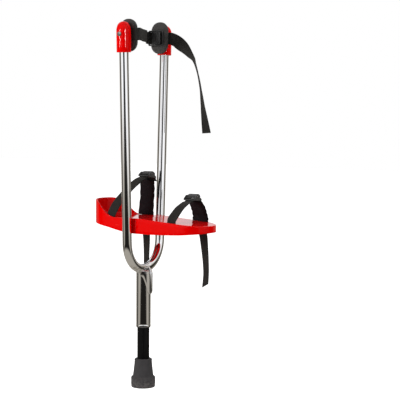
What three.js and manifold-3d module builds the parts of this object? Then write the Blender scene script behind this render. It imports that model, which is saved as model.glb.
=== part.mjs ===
// A strap-on spring stilt for one leg: a bent tube frame over a sprung foot, with a footplate,
// two foot straps and a calf strap. Millimetres, +Z up. The origin is the middle of the foot's
// ground face. X runs across the two arms and the wearer's toes point along -Y.
import * as THREE from 'three';
import { mergeVertices } from 'three/addons/utils/BufferGeometryUtils.js';
import Module from 'manifold-3d';

const wasm = await Module();
wasm.setup();

// Driving dimensions
const GAP = 0.3;                    // left between pieces that touch
const TUBE_R = 9.5;                 // bent frame tube
const TUBE_WALL = 1.5;
const BEND_BOTTOM_Z = 245;          // lowest point of the tube's centreline
const BEND_R = 58.5;
const SPLAY = 0.0354;               // each arm leans outwards by this angle, in radians
const ARM_TOP_Z = 738;
const SLEEVE_R = 15.2;
const SLEEVE_BORE = 14;
const SLEEVE_BOTTOM = 126;
const SLEEVE_TOP = 241;
const PLUNGER_R = 12.5;
const PLUNGER_BORE = 10.5;
const PLUNGER_TOP = 156;
const FERRULE_R = 25;
const FERRULE_RING = 22;            // height of the wide ring at the ground
const FERRULE_TOP = 59;
const FERRULE_FLOOR = 11;
const SPRING_WIRE_R = 1.6;
const SPRING_COIL_R = 10.8;
const SPRING_TURNS = 6.5;
const SPRING_BOTTOM = 163.3;
const SPRING_TOP = 222;
const PLATE_HALF_WIDTH = 49;
const PLATE_WALL = 3.5;
const DECK_THICK = 5;
const DECK_Z = 352;                 // top of the flat part of the deck
const HEEL_ARC_Y = 61;              // centres of the round ends of the plate
const TOE_ARC_Y = -116;
const BRACKET_HALF_WIDTH = 13;
const FRAME_BOLT_Z = 335;
const PLATE_SCREW_X = 22;
const PLATE_SCREW_R = 1.9;
const CAP_R = 14.5;
const CAP_BOTTOM = 683;
const CAP_HEIGHT = 61;
const CAP_FLAT = 11;                // from the arm's axis to the cap's flat inner side
const PAD_CENTRE_Z = 717;
const PAD_HALF_WIDTH = 20;
const PAD_HEIGHT = 65;
const PAD_THICK = 6.5;
const STRAP_THICK = 1.6;
const CALF_WEBBING = 25;
const FOOT_WEBBING = 20;
const INSTEP_PAD_WIDTH = 34;
const INSTEP_PAD_THICK = 6;
const SLOT_X = 43.3;                // the straps' slots through the deck
const SLOT_HALF_WIDTH = 2.1;

const MATERIALS = {
  chrome: new THREE.MeshStandardMaterial({ color: 0xd9dadc, roughness: 0.12, metalness: 1 }),
  blackSteel: new THREE.MeshStandardMaterial({ color: 0x141415, roughness: 0.35, metalness: 0.2 }),
  redPlastic: new THREE.MeshStandardMaterial({ color: 0xd60a0a, roughness: 0.15, metalness: 0 }),
  greyRubber: new THREE.MeshStandardMaterial({ color: 0x4a4749, roughness: 0.85, metalness: 0 }),
  foam: new THREE.MeshStandardMaterial({ color: 0x3a3836, roughness: 0.95, metalness: 0 }),
  webbing: new THREE.MeshStandardMaterial({ color: 0x1b1a1a, roughness: 0.9, metalness: 0 }),
  paddedFabric: new THREE.MeshStandardMaterial({ color: 0x141214, roughness: 0.9, metalness: 0 }),
  blackPlastic: new THREE.MeshStandardMaterial({ color: 0x1e1e1e, roughness: 0.5, metalness: 0 }),
  zinc: new THREE.MeshStandardMaterial({ color: 0xb4b6b8, roughness: 0.35, metalness: 1 }),
  springSteel: new THREE.MeshStandardMaterial({ color: 0x6a6c70, roughness: 0.4, metalness: 1 }),
};

const stilt = new THREE.Group();

function add(name, geometry, material, parent = stilt) {
  const mesh = new THREE.Mesh(geometry, MATERIALS[material]);
  mesh.name = name;
  parent.add(mesh);
  return mesh;
}

// Shape tools

/** A closed geometry as a solid that can be joined and cut. */
function solid(geometry) {
  const bare = geometry.clone();
  bare.deleteAttribute('normal');
  bare.deleteAttribute('uv');
  const merged = mergeVertices(bare, 1e-4);
  const corners = [];
  for (let i = 0; i < merged.index.count; i += 3) {
    const [a, b, c] = [0, 1, 2].map((k) => merged.index.getX(i + k));
    if (a !== b && b !== c && c !== a) corners.push(a, b, c);
  }
  return new wasm.Manifold(new wasm.Mesh({
    numProp: 3,
    vertProperties: merged.attributes.position.array,
    triVerts: Uint32Array.from(corners),
  }));
}

function geometryOf(manifold) {
  const mesh = manifold.getMesh();
  const geometry = new THREE.BufferGeometry();
  geometry.setAttribute('position', new THREE.BufferAttribute(mesh.vertProperties, 3));
  geometry.setIndex(new THREE.BufferAttribute(mesh.triVerts, 1));
  geometry.computeVertexNormals();
  return geometry;
}

function join(...geometries) {
  return geometryOf(geometries.map(solid).reduce((whole, piece) => whole.add(piece)));
}

function cut(geometry, ...tools) {
  return geometryOf(tools.map(solid).reduce((whole, tool) => whole.subtract(tool), solid(geometry)));
}

function common(first, second) {
  return geometryOf(solid(first).intersect(solid(second)));
}

/** A turned solid about Z. The profile runs up the outside and back down the inside. */
function turned(profile, segments = 32) {
  const points = profile.map(([r, z]) => new THREE.Vector2(r, z));
  return new THREE.LatheGeometry(points, segments).rotateX(Math.PI / 2);
}

function ring(inner, outer, bottom, top, segments) {
  const profile = [[inner, bottom], [outer, bottom], [outer, top], [inner, top], [inner, bottom]];
  return turned(profile, segments);
}

function disc(radius, bottom, top, segments) {
  return turned([[0, bottom], [radius, bottom], [radius, top], [0, top]], segments);
}

/** A round bar of the given radius along X, from x0 to x1 at height z. */
function barAlongX(radius, x0, x1, z, segments = 16) {
  const bar = new THREE.CylinderGeometry(radius, radius, x1 - x0, segments).rotateZ(Math.PI / 2);
  return bar.translate((x0 + x1) / 2, 0, z);
}

function block(x0, x1, y0, y1, z0, z1) {
  const box = new THREE.BoxGeometry(x1 - x0, y1 - y0, z1 - z0);
  return box.translate((x0 + x1) / 2, (y0 + y1) / 2, (z0 + z1) / 2);
}

function polygon(points) {
  return new THREE.Shape(points.map(([x, y]) => new THREE.Vector2(x, y)));
}

function prism(shape, z0, z1, curveSegments = 12) {
  const options = { depth: z1 - z0, bevelEnabled: false, curveSegments };
  return new THREE.ExtrudeGeometry(shape, options).translate(0, 0, z0);
}

/** A prism whose outline is drawn in Y and Z and which runs along X. */
function sidePrism(shape, x0, x1) {
  const toSide = new THREE.Matrix4().makeBasis(
    new THREE.Vector3(0, 1, 0), new THREE.Vector3(0, 0, 1), new THREE.Vector3(1, 0, 0));
  return prism(shape, x0, x1).applyMatrix4(toSide);
}

/** A prism whose outline is drawn in X and Z and which runs along Y, from y1 down to y0. */
function frontPrism(shape, y0, y1) {
  return prism(shape, -y1, -y0).rotateX(Math.PI / 2);
}

function roundedBox(width, height, radius) {
  const [w, h] = [width / 2, height / 2];
  const outline = new THREE.Shape();
  outline.absarc(w - radius, -h + radius, radius, -Math.PI / 2, 0);
  outline.absarc(w - radius, h - radius, radius, 0, Math.PI / 2);
  outline.absarc(-w + radius, h - radius, radius, Math.PI / 2, Math.PI);
  outline.absarc(-w + radius, -h + radius, radius, Math.PI, Math.PI * 1.5);
  return outline;
}

/**
 * A flat strap swept through stations. Each station has its centre, the direction of its width
 * and, where it differs, its width.
 */
function strap(stations, width, thickness = STRAP_THICK, stepsPerSpan = 3) {
  const centres = stations.map((s) => new THREE.Vector3(...s.at));
  const route = new THREE.CatmullRomCurve3(centres, false, 'centripetal');
  const spans = stations.length - 1;
  const steps = spans * stepsPerSpan;
  const positions = [];
  for (let i = 0; i <= steps; i++) {
    const span = Math.min(Math.floor(i / stepsPerSpan), spans - 1);
    const part = i / stepsPerSpan - span;
    const [from, to] = [stations[span], stations[span + 1]];
    const centre = route.getPoint(i / steps);
    const along = route.getTangent(i / steps);
    const across = new THREE.Vector3(...from.across).lerp(new THREE.Vector3(...to.across), part);
    across.addScaledVector(along, -across.dot(along)).normalize();
    const face = new THREE.Vector3().crossVectors(along, across);
    const half = THREE.MathUtils.lerp(from.width ?? width, to.width ?? width, part) / 2;
    for (const [side, up] of [[1, 1], [-1, 1], [-1, -1], [1, -1]]) {
      const corner = centre.clone().addScaledVector(across, side * half);
      positions.push(...corner.addScaledVector(face, up * thickness / 2).toArray());
    }
  }
  const index = [0, 2, 1, 0, 3, 2];
  for (let i = 0; i < steps; i++) {
    for (let k = 0; k < 4; k++) {
      const [a, b] = [4 * i + k, 4 * i + (k + 1) % 4];
      index.push(a, b, b + 4, a, b + 4, a + 4);
    }
  }
  const last = 4 * steps;
  index.push(last, last + 1, last + 2, last, last + 2, last + 3);
  const geometry = new THREE.BufferGeometry();
  geometry.setAttribute('position', new THREE.Float32BufferAttribute(positions, 3));
  geometry.setIndex(index);
  return geometry;
}

// Bent frame tube

/** The tube's centreline: down one arm, round the bend and up the other arm. */
class FrameLine extends THREE.Curve {
  constructor() {
    super();
    this.arcCentreZ = BEND_BOTTOM_Z + BEND_R;
    this.arcEnd = Math.PI / 2 - SPLAY;
    this.armShare = 0.1;            // share of the steps on each straight arm
  }

  getPoint(t) {
    const side = t < 0.5 ? -1 : 1;
    const fromMiddle = Math.abs(t - 0.5);
    const arcShare = 0.5 - this.armShare;
    const turn = Math.min(fromMiddle / arcShare, 1) * this.arcEnd;
    const x = BEND_R * Math.sin(turn);
    const z = this.arcCentreZ - BEND_R * Math.cos(turn);
    const rise = Math.max(fromMiddle - arcShare, 0) / this.armShare * (ARM_TOP_Z - z);
    return new THREE.Vector3(side * (x + rise * Math.tan(SPLAY)), 0, z + rise);
  }

  getPointAt(t) {
    return this.getPoint(t);
  }

  getTangentAt(t) {
    return this.getTangent(t);
  }
}

const ARM_START_Z = BEND_BOTTOM_Z + BEND_R - BEND_R * Math.sin(SPLAY);
const armX = (z) => BEND_R * Math.cos(SPLAY) + (z - ARM_START_Z) * Math.tan(SPLAY);

function frameTube(outer, inner, halfSides = 10) {
  const section = new THREE.Shape();
  section.absarc(0, 0, outer, 0, Math.PI * 2);
  if (inner) {
    const bore = new THREE.Path();
    bore.absarc(0, 0, inner, 0, Math.PI * 2);
    section.holes.push(bore);
  }
  const options = { steps: 20, curveSegments: halfSides, extrudePath: new FrameLine() };
  return new THREE.ExtrudeGeometry(section, options);
}

/** A group that stands on one arm's axis at the cap's bottom, with +X pointing away from the leg. */
function armGroup(side) {
  const turn = new THREE.Group();
  turn.rotation.z = side < 0 ? Math.PI : 0;
  const lean = new THREE.Group();
  lean.position.set(armX(CAP_BOTTOM), 0, CAP_BOTTOM);
  lean.rotation.y = SPLAY;
  turn.add(lean);
  stilt.add(turn);
  return lean;
}

const SCREW_Z = 36;                 // above the cap's bottom
const SCREW_R = 2.5;
const BOLT_R = 2.9;

function bentFrame() {
  const screwBore = (side) => barAlongX(SCREW_R + GAP, -20, 20, SCREW_Z)
    .rotateY(SPLAY).translate(armX(CAP_BOTTOM), 0, CAP_BOTTOM).rotateZ(side < 0 ? Math.PI : 0);
  const boltBore = barAlongX(BOLT_R + GAP, -armX(FRAME_BOLT_Z), armX(FRAME_BOLT_Z), FRAME_BOLT_Z);
  const tube = frameTube(TUBE_R, TUBE_R - TUBE_WALL);
  add('u_frame_tube', cut(tube, screwBore(-1), screwBore(1), boltBore), 'chrome');
}

// Sprung leg

function sleeve() {
  const rimR = SLEEVE_R + 0.2;
  const rimTop = SLEEVE_BOTTOM + 3;
  const body = turned([
    [SLEEVE_BORE, SLEEVE_BOTTOM], [rimR, SLEEVE_BOTTOM], [rimR, rimTop], [SLEEVE_R, rimTop + 0.4],
    [SLEEVE_R, SLEEVE_TOP], [SLEEVE_BORE, SLEEVE_TOP], [SLEEVE_BORE, SLEEVE_BOTTOM],
  ]);
  add('leg_sleeve', cut(body, frameTube(TUBE_R + GAP)), 'chrome');
}

function gusset() {
  const bottom = 194;
  const inner = SLEEVE_R + GAP;
  const outer = inner + 2.4;
  const shield = ring(inner, outer, bottom, SLEEVE_TOP);
  const [narrow, wide] = [4.9, 16.5];
  const taper = polygon([
    [-narrow, bottom - 1], [narrow, bottom - 1], [wide, SLEEVE_TOP + 1], [-wide, SLEEVE_TOP + 1],
  ]);
  const wings = common(shield, frontPrism(taper, -30, -2));
  add('gusset_saddle', cut(wings, frameTube(TUBE_R + GAP)), 'chrome');
  const ribReach = outer + 3.6;
  const web = polygon([
    [-outer + 4, bottom + 1], [-ribReach + 1.5, bottom + 1], [-ribReach, bottom + 5], [-ribReach, 239],
    [-13, 251], [-4, 251],
  ]);
  const saddleRoom = disc(outer + GAP, bottom - 5, SLEEVE_TOP + GAP);
  add('gusset_rib', cut(sidePrism(web, -2, 2), frameTube(TUBE_R + GAP), saddleRoom), 'chrome');
}

function springLeg() {
  const bushBore = PLUNGER_R + GAP;
  const [lipR, lipBottom] = [SLEEVE_R - 0.4, SLEEVE_BOTTOM - 2];
  add('guide_bush', turned([
    [bushBore, lipBottom], [lipR, lipBottom], [lipR, SLEEVE_BOTTOM - GAP],
    [SLEEVE_BORE - GAP, SLEEVE_BOTTOM - GAP], [SLEEVE_BORE - GAP, PLUNGER_TOP], [bushBore, PLUNGER_TOP],
    [bushBore, lipBottom],
  ]), 'blackPlastic');
  const noseR = SPRING_COIL_R - SPRING_WIRE_R - 0.4;
  add('spring_seat', turned([
    [0, SPRING_TOP - 6], [noseR - 1, SPRING_TOP - 6], [noseR, SPRING_TOP - 5], [noseR, SPRING_TOP + GAP],
    [SLEEVE_BORE - GAP, SPRING_TOP + GAP], [SLEEVE_BORE - GAP, 234.5], [0, 234.5],
  ]), 'springSteel');
  compressionSpring();
  add('plunger_collar', turned([
    [0, PLUNGER_TOP - 10], [PLUNGER_BORE - GAP, PLUNGER_TOP - 10], [PLUNGER_BORE - GAP, PLUNGER_TOP + GAP],
    [SLEEVE_BORE - 0.4, PLUNGER_TOP + GAP], [SLEEVE_BORE - 0.4, SPRING_BOTTOM - GAP],
    [noseR, SPRING_BOTTOM - GAP], [noseR, SPRING_BOTTOM + 5], [noseR - 1, SPRING_BOTTOM + 6],
    [0, SPRING_BOTTOM + 6],
  ]), 'springSteel');
  add('plunger_tube', ring(PLUNGER_BORE, PLUNGER_R, FERRULE_FLOOR + 2.6, PLUNGER_TOP), 'blackSteel');
  add('ferrule_washer', disc(PLUNGER_R - 0.1, FERRULE_FLOOR + GAP, FERRULE_FLOOR + 2.3), 'zinc');
  ferrule();
}

function compressionSpring() {
  const rise = SPRING_TOP - SPRING_BOTTOM - 2 * SPRING_WIRE_R;
  class Helix extends THREE.Curve {
    getPoint(t) {
      const turn = t * SPRING_TURNS * Math.PI * 2;
      const z = SPRING_BOTTOM + SPRING_WIRE_R + t * rise;
      return new THREE.Vector3(SPRING_COIL_R * Math.cos(turn), SPRING_COIL_R * Math.sin(turn), z);
    }
  }
  const wire = new THREE.Shape();
  wire.absarc(0, 0, SPRING_WIRE_R, 0, Math.PI * 2);
  const options = { steps: Math.round(SPRING_TURNS * 12), curveSegments: 4, extrudePath: new Helix() };
  add('compression_spring', new THREE.ExtrudeGeometry(wire, options), 'springSteel');
}

function ferrule() {
  const bore = PLUNGER_R + GAP;
  add('ferrule', turned([
    [0, 0], [FERRULE_R - 1.2, 0], [FERRULE_R, 1.2], [FERRULE_R, FERRULE_RING - 1.5],
    [FERRULE_R - 1, FERRULE_RING], [21.2, FERRULE_RING + 1], [17.6, FERRULE_TOP - 1], [16.8, FERRULE_TOP],
    [bore, FERRULE_TOP], [bore, FERRULE_FLOOR], [0, FERRULE_FLOOR],
  ]), 'greyRubber');
}

// Footplate

const DECK_BREAK_Y = -20;           // the deck slopes down from here to the toe
const TOE_DECK_Z = 341.5;
const TOE_END_Y = TOE_ARC_Y - PLATE_HALF_WIDTH;
const DECK_SLOPE = (DECK_Z - TOE_DECK_Z) / (DECK_BREAK_Y - TOE_END_Y);
const deckZ = (y) => DECK_Z - Math.max(DECK_BREAK_Y - y, 0) * DECK_SLOPE;

function planOutline(inset) {
  const outline = new THREE.Shape();
  const radius = PLATE_HALF_WIDTH - inset;
  outline.absarc(0, HEEL_ARC_Y, radius, 0, Math.PI);
  outline.absarc(0, TOE_ARC_Y, radius, Math.PI, Math.PI * 2);
  return outline;
}

/** Points of a smooth line through the given ones. */
function smooth(points, divisions) {
  const curve = new THREE.SplineCurve(points.map(([y, z]) => new THREE.Vector2(y, z)));
  return curve.getPoints(divisions).map((p) => [p.x, p.y]);
}

/** The plate's holes: the straps' slots, the blind screw holes, the bolt holes and the rivet holes. */
function plateHoles() {
  const plans = Object.values(FOOT_STRAPS);
  const halfSlot = FOOT_WEBBING / 2 + 1.5;
  const slots = plans.flatMap(({ near, far }) => [[-SLOT_X, near], [SLOT_X, far]]).map(([x, y]) => block(
    x - SLOT_HALF_WIDTH, x + SLOT_HALF_WIDTH, y - halfSlot, y + halfSlot, DECK_Z - 22, DECK_Z + 8));
  const screwHoles = [-1, 1].map((side) => disc(PLATE_SCREW_R + GAP, 330, DECK_Z - 1, 16)
    .translate(side * PLATE_SCREW_X, 0, 0));
  const boltHoles = barAlongX(BOLT_R + GAP, -60, 60, FRAME_BOLT_Z);
  const rivetHoles = plans.map(({ near }) => disc(RIVET_R + GAP, 330, deckZ(near) - 1.2, 16)
    .translate(RIVET_X, near, 0));
  return [...slots, ...screwHoles, boltHoles, ...rivetHoles];
}

function footplate() {
  const ends = [TOE_END_Y - 2, HEEL_ARC_Y + PLATE_HALF_WIDTH + 2];
  const [below, above, beside] = [290, 410, 60];
  const skirtEdge = smooth([
    [ends[0], 327.5], [-110, 323], [-50, 321], [0, 321.5], [30, 325.5], [61, 332], [ends[1], 339],
  ], 18);
  const deckTop = [[ends[1], DECK_Z], [DECK_BREAK_Y, DECK_Z], [ends[0], deckZ(ends[0])]];
  const slabSide = sidePrism(polygon([...skirtEdge, ...deckTop]), -beside, beside);
  const slab = common(prism(planOutline(0), below, above), slabSide);
  const cupEdge = smooth([[ends[1], 386.5], [98, 385.5], [84, 379], [68, 366], [54, 356], [44, DECK_Z]], 15);
  const cupSide = polygon([[44, DECK_Z - 1], [ends[1], DECK_Z - 1], ...cupEdge]);
  const band = new THREE.Shape(planOutline(0).getPoints(14));
  band.holes.push(new THREE.Path(planOutline(PLATE_WALL).getPoints(14)));
  const cup = common(prism(band, DECK_Z - 12, above), sidePrism(cupSide, -beside, beside));
  const under = (y) => deckZ(y) - DECK_THICK;
  const pocketSide = polygon([
    [ends[0], below], [ends[1], below], [ends[1], under(0)], [DECK_BREAK_Y, under(0)],
    [ends[0], under(ends[0])],
  ]);
  const pocket = common(
    prism(planOutline(PLATE_WALL), below, above), sidePrism(pocketSide, -beside, beside));
  add('footplate', cut(join(slab, cup), pocket, ...plateHoles()), 'redPlastic');
}

function plateBracket() {
  const [reach, thick, top, bottom] = [44.9, 3, DECK_Z - DECK_THICK - GAP, 326];
  const channel = polygon([
    [-reach, bottom], [-reach + thick, bottom], [-reach + thick, top - thick], [reach - thick, top - thick],
    [reach - thick, bottom], [reach, bottom], [reach, top], [-reach, top],
  ]);
  const body = frontPrism(channel, -BRACKET_HALF_WIDTH, BRACKET_HALF_WIDTH);
  const screwHoles = [-1, 1].map((side) => disc(PLATE_SCREW_R + GAP, bottom, top + 1, 16)
    .translate(side * PLATE_SCREW_X, 0, 0));
  const boltBore = barAlongX(BOLT_R + GAP, -60, 60, FRAME_BOLT_Z);
  add('plate_bracket', cut(body, boltBore, ...screwHoles), 'zinc');
  for (const [name, side] of [['left', -1], ['right', 1]]) {
    const head = new THREE.CylinderGeometry(5.5, 5.5, 4, 6).rotateZ(Math.PI / 2)
      .translate(reach - thick - 2 - GAP, 0, 0);
    const shank = barAlongX(BOLT_R, reach - thick - 3, 54.5, 0);
    const bolt = add(`frame_bolt_${name}`, join(head, shank), 'zinc');
    bolt.position.z = FRAME_BOLT_Z;
    bolt.rotation.z = side < 0 ? Math.PI : 0;
    const headTop = top - thick - GAP;
    const screw = add(`plate_screw_${name}`, turned([
      [0, headTop - 2.1], [3, headTop - 2.1], [4, headTop - 1.2], [4, headTop],
      [PLATE_SCREW_R, headTop], [PLATE_SCREW_R, DECK_Z - 1.6], [0, DECK_Z - 1.6],
    ], 16), 'zinc');
    screw.position.x = side * PLATE_SCREW_X;
  }
}

// Arm caps and calf pads

const STRAP_LAYER = 2.2;            // room for the calf strap between a cap and its backing plate
const BACKING_THICK = 2;
const BACKING_FACE = CAP_FLAT + STRAP_LAYER;
const PAD_BACK = BACKING_FACE + BACKING_THICK + GAP;
const PAD_SLOT = [-8.5, -3.5];      // across the right pad, in Y

function capGeometry() {
  const bullet = turned([
    [0, 0], [CAP_R + 1.5, 0], [CAP_R + 1.5, 42], [CAP_R + 0.8, 48], [CAP_R - 2, 54], [CAP_R - 6.5, 58.6],
    [4, CAP_HEIGHT - 0.4], [0, CAP_HEIGHT],
  ], 32);
  const section = new THREE.Shape();
  const corner = 3;
  section.absarc(0, 0, CAP_R, -Math.PI / 2, Math.PI / 2);
  section.absarc(-CAP_FLAT + corner, CAP_R - corner, corner, Math.PI / 2, Math.PI);
  section.absarc(-CAP_FLAT + corner, -CAP_R + corner, corner, Math.PI, Math.PI * 1.5);
  const body = common(bullet, prism(section, -1, CAP_HEIGHT + 1, 16));
  return cut(body, disc(TUBE_R + GAP, -1, 56, 24), barAlongX(SCREW_R + GAP, -20, 20, SCREW_Z));
}

function calfSide(name, side) {
  const arm = armGroup(side);
  const padMiddle = PAD_CENTRE_Z - CAP_BOTTOM;
  const towardsLeg = new THREE.Matrix4().makeBasis(
    new THREE.Vector3(0, 1, 0), new THREE.Vector3(0, 0, 1), new THREE.Vector3(1, 0, 0));
  const slab = (width, height, radius, from, thick) => prism(
    roundedBox(width, height, radius), -from - thick, -from, 8)
    .applyMatrix4(towardsLeg).translate(0, 0, padMiddle);
  const halfSlot = CALF_WEBBING / 2 + 2;
  const slotEnds = [padMiddle - halfSlot, padMiddle + halfSlot];
  const slot = block(-40, 0, ...PAD_SLOT, ...slotEnds);
  const slotMouth = block(-PAD_BACK, 0, PAD_SLOT[0] - 6, PAD_SLOT[1], ...slotEnds);
  const screwBore = barAlongX(SCREW_R + GAP, -PAD_BACK, 0, SCREW_Z);
  const nutPocket = barAlongX(5.6, -PAD_BACK - 3.8, 0, SCREW_Z);
  const backing = slab(
    2 * PAD_HALF_WIDTH - 6, PAD_HEIGHT - 8, PAD_HALF_WIDTH - 4, BACKING_FACE, BACKING_THICK);
  const pad = slab(2 * PAD_HALF_WIDTH, PAD_HEIGHT, PAD_HALF_WIDTH - 1, PAD_BACK, PAD_THICK);
  add(`arm_cap_${name}`, capGeometry(), 'redPlastic', arm);
  add(`pad_backing_${name}`, cut(backing, screwBore, ...(side > 0 ? [slotMouth] : [])), 'blackPlastic', arm);
  add(`calf_pad_${name}`, cut(pad, nutPocket, ...(side > 0 ? [slot] : [])), 'foam', arm);
  const head = turned([[0, 0], [4.6, 0], [4.6, 0.6], [3.4, 2.2], [0, 2.8]], 20)
    .rotateY(Math.PI / 2).translate(CAP_R + GAP, 0, SCREW_Z);
  const shank = barAlongX(SCREW_R, -PAD_BACK - 3, CAP_R + 1, SCREW_Z);
  add(`cap_screw_${name}`, join(head, shank), 'zinc', arm);
  const nut = new THREE.CylinderGeometry(4.8, 4.8, 3, 6).rotateZ(Math.PI / 2)
    .translate(-PAD_BACK - 1.8, 0, SCREW_Z);
  add(`cap_nut_${name}`, cut(nut, barAlongX(SCREW_R + GAP, -60, 60, SCREW_Z)), 'zinc', arm);
}

// Buckles: a frame with two bars, a ridged cam lever on a pin that grips the strap

/**
 * Drawn with x along the strap, y across it and z away from the leg, z = 0 being the face that
 * the strap slides on.
 */
function buckle(prefix, size, parent) {
  const { length, webbing, pinX, leverLength } = size;
  const [bar, floor, cheek, pinZ, camR, pinR] = [2.5, 2, 2.5, 6, 3.3, 1.2];
  const inside = webbing / 2 + 0.8;
  const windows = [[-length / 2 + bar, pinX - 5], [pinX + 5, length / 2 - bar]]
    .map(([x0, x1]) => block(x0, x1, -inside, inside, -floor - 1, 1));
  const plate = cut(prism(roundedBox(length, 2 * (inside + cheek), 3), -floor, 0, 4), ...windows);
  const half = length / 2 - 2;
  const ear = polygon([
    [-half, -1], [half, -1], [half, 1.6], [pinX + 5, 7], [pinX + 2, 8.6], [pinX - 2, 8.6],
    [pinX - 5, 7], [-half, 1.6],
  ]);
  const ears = [-1, 1].map((side) => frontPrism(ear, -cheek / 2, cheek / 2)
    .translate(0, side * (inside + cheek / 2), 0));
  const pinBore = new THREE.CylinderGeometry(pinR + GAP, pinR + GAP, 60, 12)
    .translate(pinX, 0, pinZ);
  add(`${prefix}_buckle_frame`, cut(join(plate, ...ears), pinBore), 'blackPlastic', parent);
  const lever = new THREE.Shape();
  lever.absarc(0, 0, camR, Math.PI * 0.45, Math.PI * 1.85);
  lever.lineTo(leverLength, -0.2);
  lever.lineTo(leverLength, 2.1);
  lever.lineTo(leverLength * 0.5, camR - 0.2);
  const eye = new THREE.Path();
  eye.absarc(0, 0, pinR + GAP, 0, Math.PI * 2);
  lever.holes.push(eye);
  const halfCam = inside - 0.5;
  const cam = frontPrism(lever, -halfCam, halfCam).translate(pinX, 0, pinZ);
  add(`${prefix}_buckle_lever`, cam, 'blackPlastic', parent);
  const pin = new THREE.CylinderGeometry(pinR, pinR, 2 * (inside + cheek), 12)
    .translate(pinX, 0, pinZ);
  add(`${prefix}_buckle_pin`, pin, 'zinc', parent);
}

function placed(origin, along, out) {
  const group = new THREE.Group();
  const u = new THREE.Vector3(...along).normalize();
  const n = new THREE.Vector3(...out);
  n.addScaledVector(u, -n.dot(u)).normalize();
  const w = new THREE.Vector3().crossVectors(n, u);
  group.quaternion.setFromRotationMatrix(new THREE.Matrix4().makeBasis(u, w, n));
  group.position.set(...origin);
  stilt.add(group);
  return group;
}

// Straps

const UP = [0, 0, 1];
const ACROSS_FOOT = [0, 1, 0];
const CALF_BUCKLE = { length: 34, webbing: CALF_WEBBING, pinX: 1, leverLength: 12 };
const FOOT_BUCKLE = { length: 30, webbing: FOOT_WEBBING, pinX: -2, leverLength: 14 };
const RIVET_X = -32;
const RIVET_R = 2;
const FOOT_STRAPS = {
  rear: {
    near: 52,
    far: 24,
    buckle: { at: [5, -4.5, 434.5], along: [1, 0, -0.2], out: [0, 0, 1] },
    rise: [[-43.4, 47.5, 362], [-42.6, 39, 377], [-38.5, 26.5, 394], [-28, 12.5, 414], [-17.5, 0.5, 427.5]],
    pad: [
      [14, 1.5, 425.7], [23, 7, 419.2], [31.5, 13, 406.5], [38, 18, 389.5], [42, 22, 373],
      [43.5, 24.3, 360], [43.6, 24.5, 353.7],
    ],
    // the free end below the deck, each station with the degrees that it has turned by
    tail: [
      [43.3, 24, 335, 0], [43.3, 23.8, 322, 2], [42.8, 22.3, 300, 12], [42.5, 22, 275, 20],
      [42.5, 22.5, 245, 25], [43, 24, 212, 20],
    ],
  },
  front: {
    near: -96,
    far: -110,
    buckle: { at: [3, -116, 392], along: [1, 0, -0.06], out: [0, 0, 1] },
    rise: [[-43.6, -97.5, 353.5], [-42.2, -102.5, 362], [-36.5, -110.5, 375.5], [-28, -114.5, 383],
      [-18.5, -116, 387.3]],
    pad: [
      [14.5, -114.5, 386], [24, -113, 380.5], [32.5, -111.5, 371.5], [39.5, -110, 362],
      [43.1, -109.6, 353.5], [43.3, -109.5, 348.2],
    ],
    tail: [
      [43.3, -111.5, 334, 0], [43, -117, 316, 4], [42.5, -120.5, 292, 12], [43, -123, 265, 20],
      [44, -123.5, 238, 25], [44.5, -121, 208, 22],
    ],
  },
};

function footStrap(name, { near, far, buckle: seat, rise, pad, tail }) {
  const group = placed(seat.at, seat.along, seat.out);
  buckle(name, FOOT_BUCKLE, group);
  group.updateMatrixWorld();
  const onBuckle = (x, z) => group.localToWorld(new THREE.Vector3(x, 0, z)).toArray();
  const station = (at) => ({ at, across: ACROSS_FOOT });
  const deck = deckZ(near);
  const fold = deck - 7.6;
  const anchor = [
    [-25, near, fold], [-36, near, fold], [-41, near, fold + 0.4], [-SLOT_X + 0.1, near, deck - 4.5],
    [-SLOT_X - 0.1, near, deck + 1],
  ];
  const through = [[-13.5, -4.4], [-9.6, -0.6], [-5.4, 1.5], [0, 1.3], [9, 1.2]]
    .map(([x, z]) => onBuckle(x, z));
  const webbing = strap([...anchor, ...rise, ...through].map(station), FOOT_WEBBING);
  const rivetBore = disc(RIVET_R + GAP, deck - 20, deck + 5, 12).translate(RIVET_X, near, 0);
  add(`${name}_strap_near`, cut(webbing, rivetBore), 'webbing');
  const head = fold - STRAP_THICK / 2 - GAP;
  const rivet = add(`${name}_strap_rivet`, turned([
    [0, head - 1.6], [3.4, head - 1.6], [4.4, head], [RIVET_R, head], [RIVET_R, deck - 1.8], [0, deck - 1.8],
  ], 16), 'zinc');
  rivet.position.set(RIVET_X, near, 0);
  const padStations = pad.map((at, i) => ({
    at, across: ACROSS_FOOT, width: i < pad.length - 2 ? INSTEP_PAD_WIDTH : INSTEP_PAD_WIDTH + 4,
  }));
  add(`${name}_instep_pad`, strap(padStations, INSTEP_PAD_WIDTH, INSTEP_PAD_THICK), 'paddedFabric');
  const hang = tail.map(([x, y, z, degrees]) => {
    const turn = THREE.MathUtils.degToRad(degrees);
    return { at: [x, y, z], across: [Math.sin(turn), Math.cos(turn), 0] };
  });
  const mouth = station([SLOT_X, far, deckZ(far) + 1]);
  add(`${name}_strap_tail`, strap([mouth, ...hang], FOOT_WEBBING, STRAP_THICK, 2), 'webbing');
}

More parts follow.
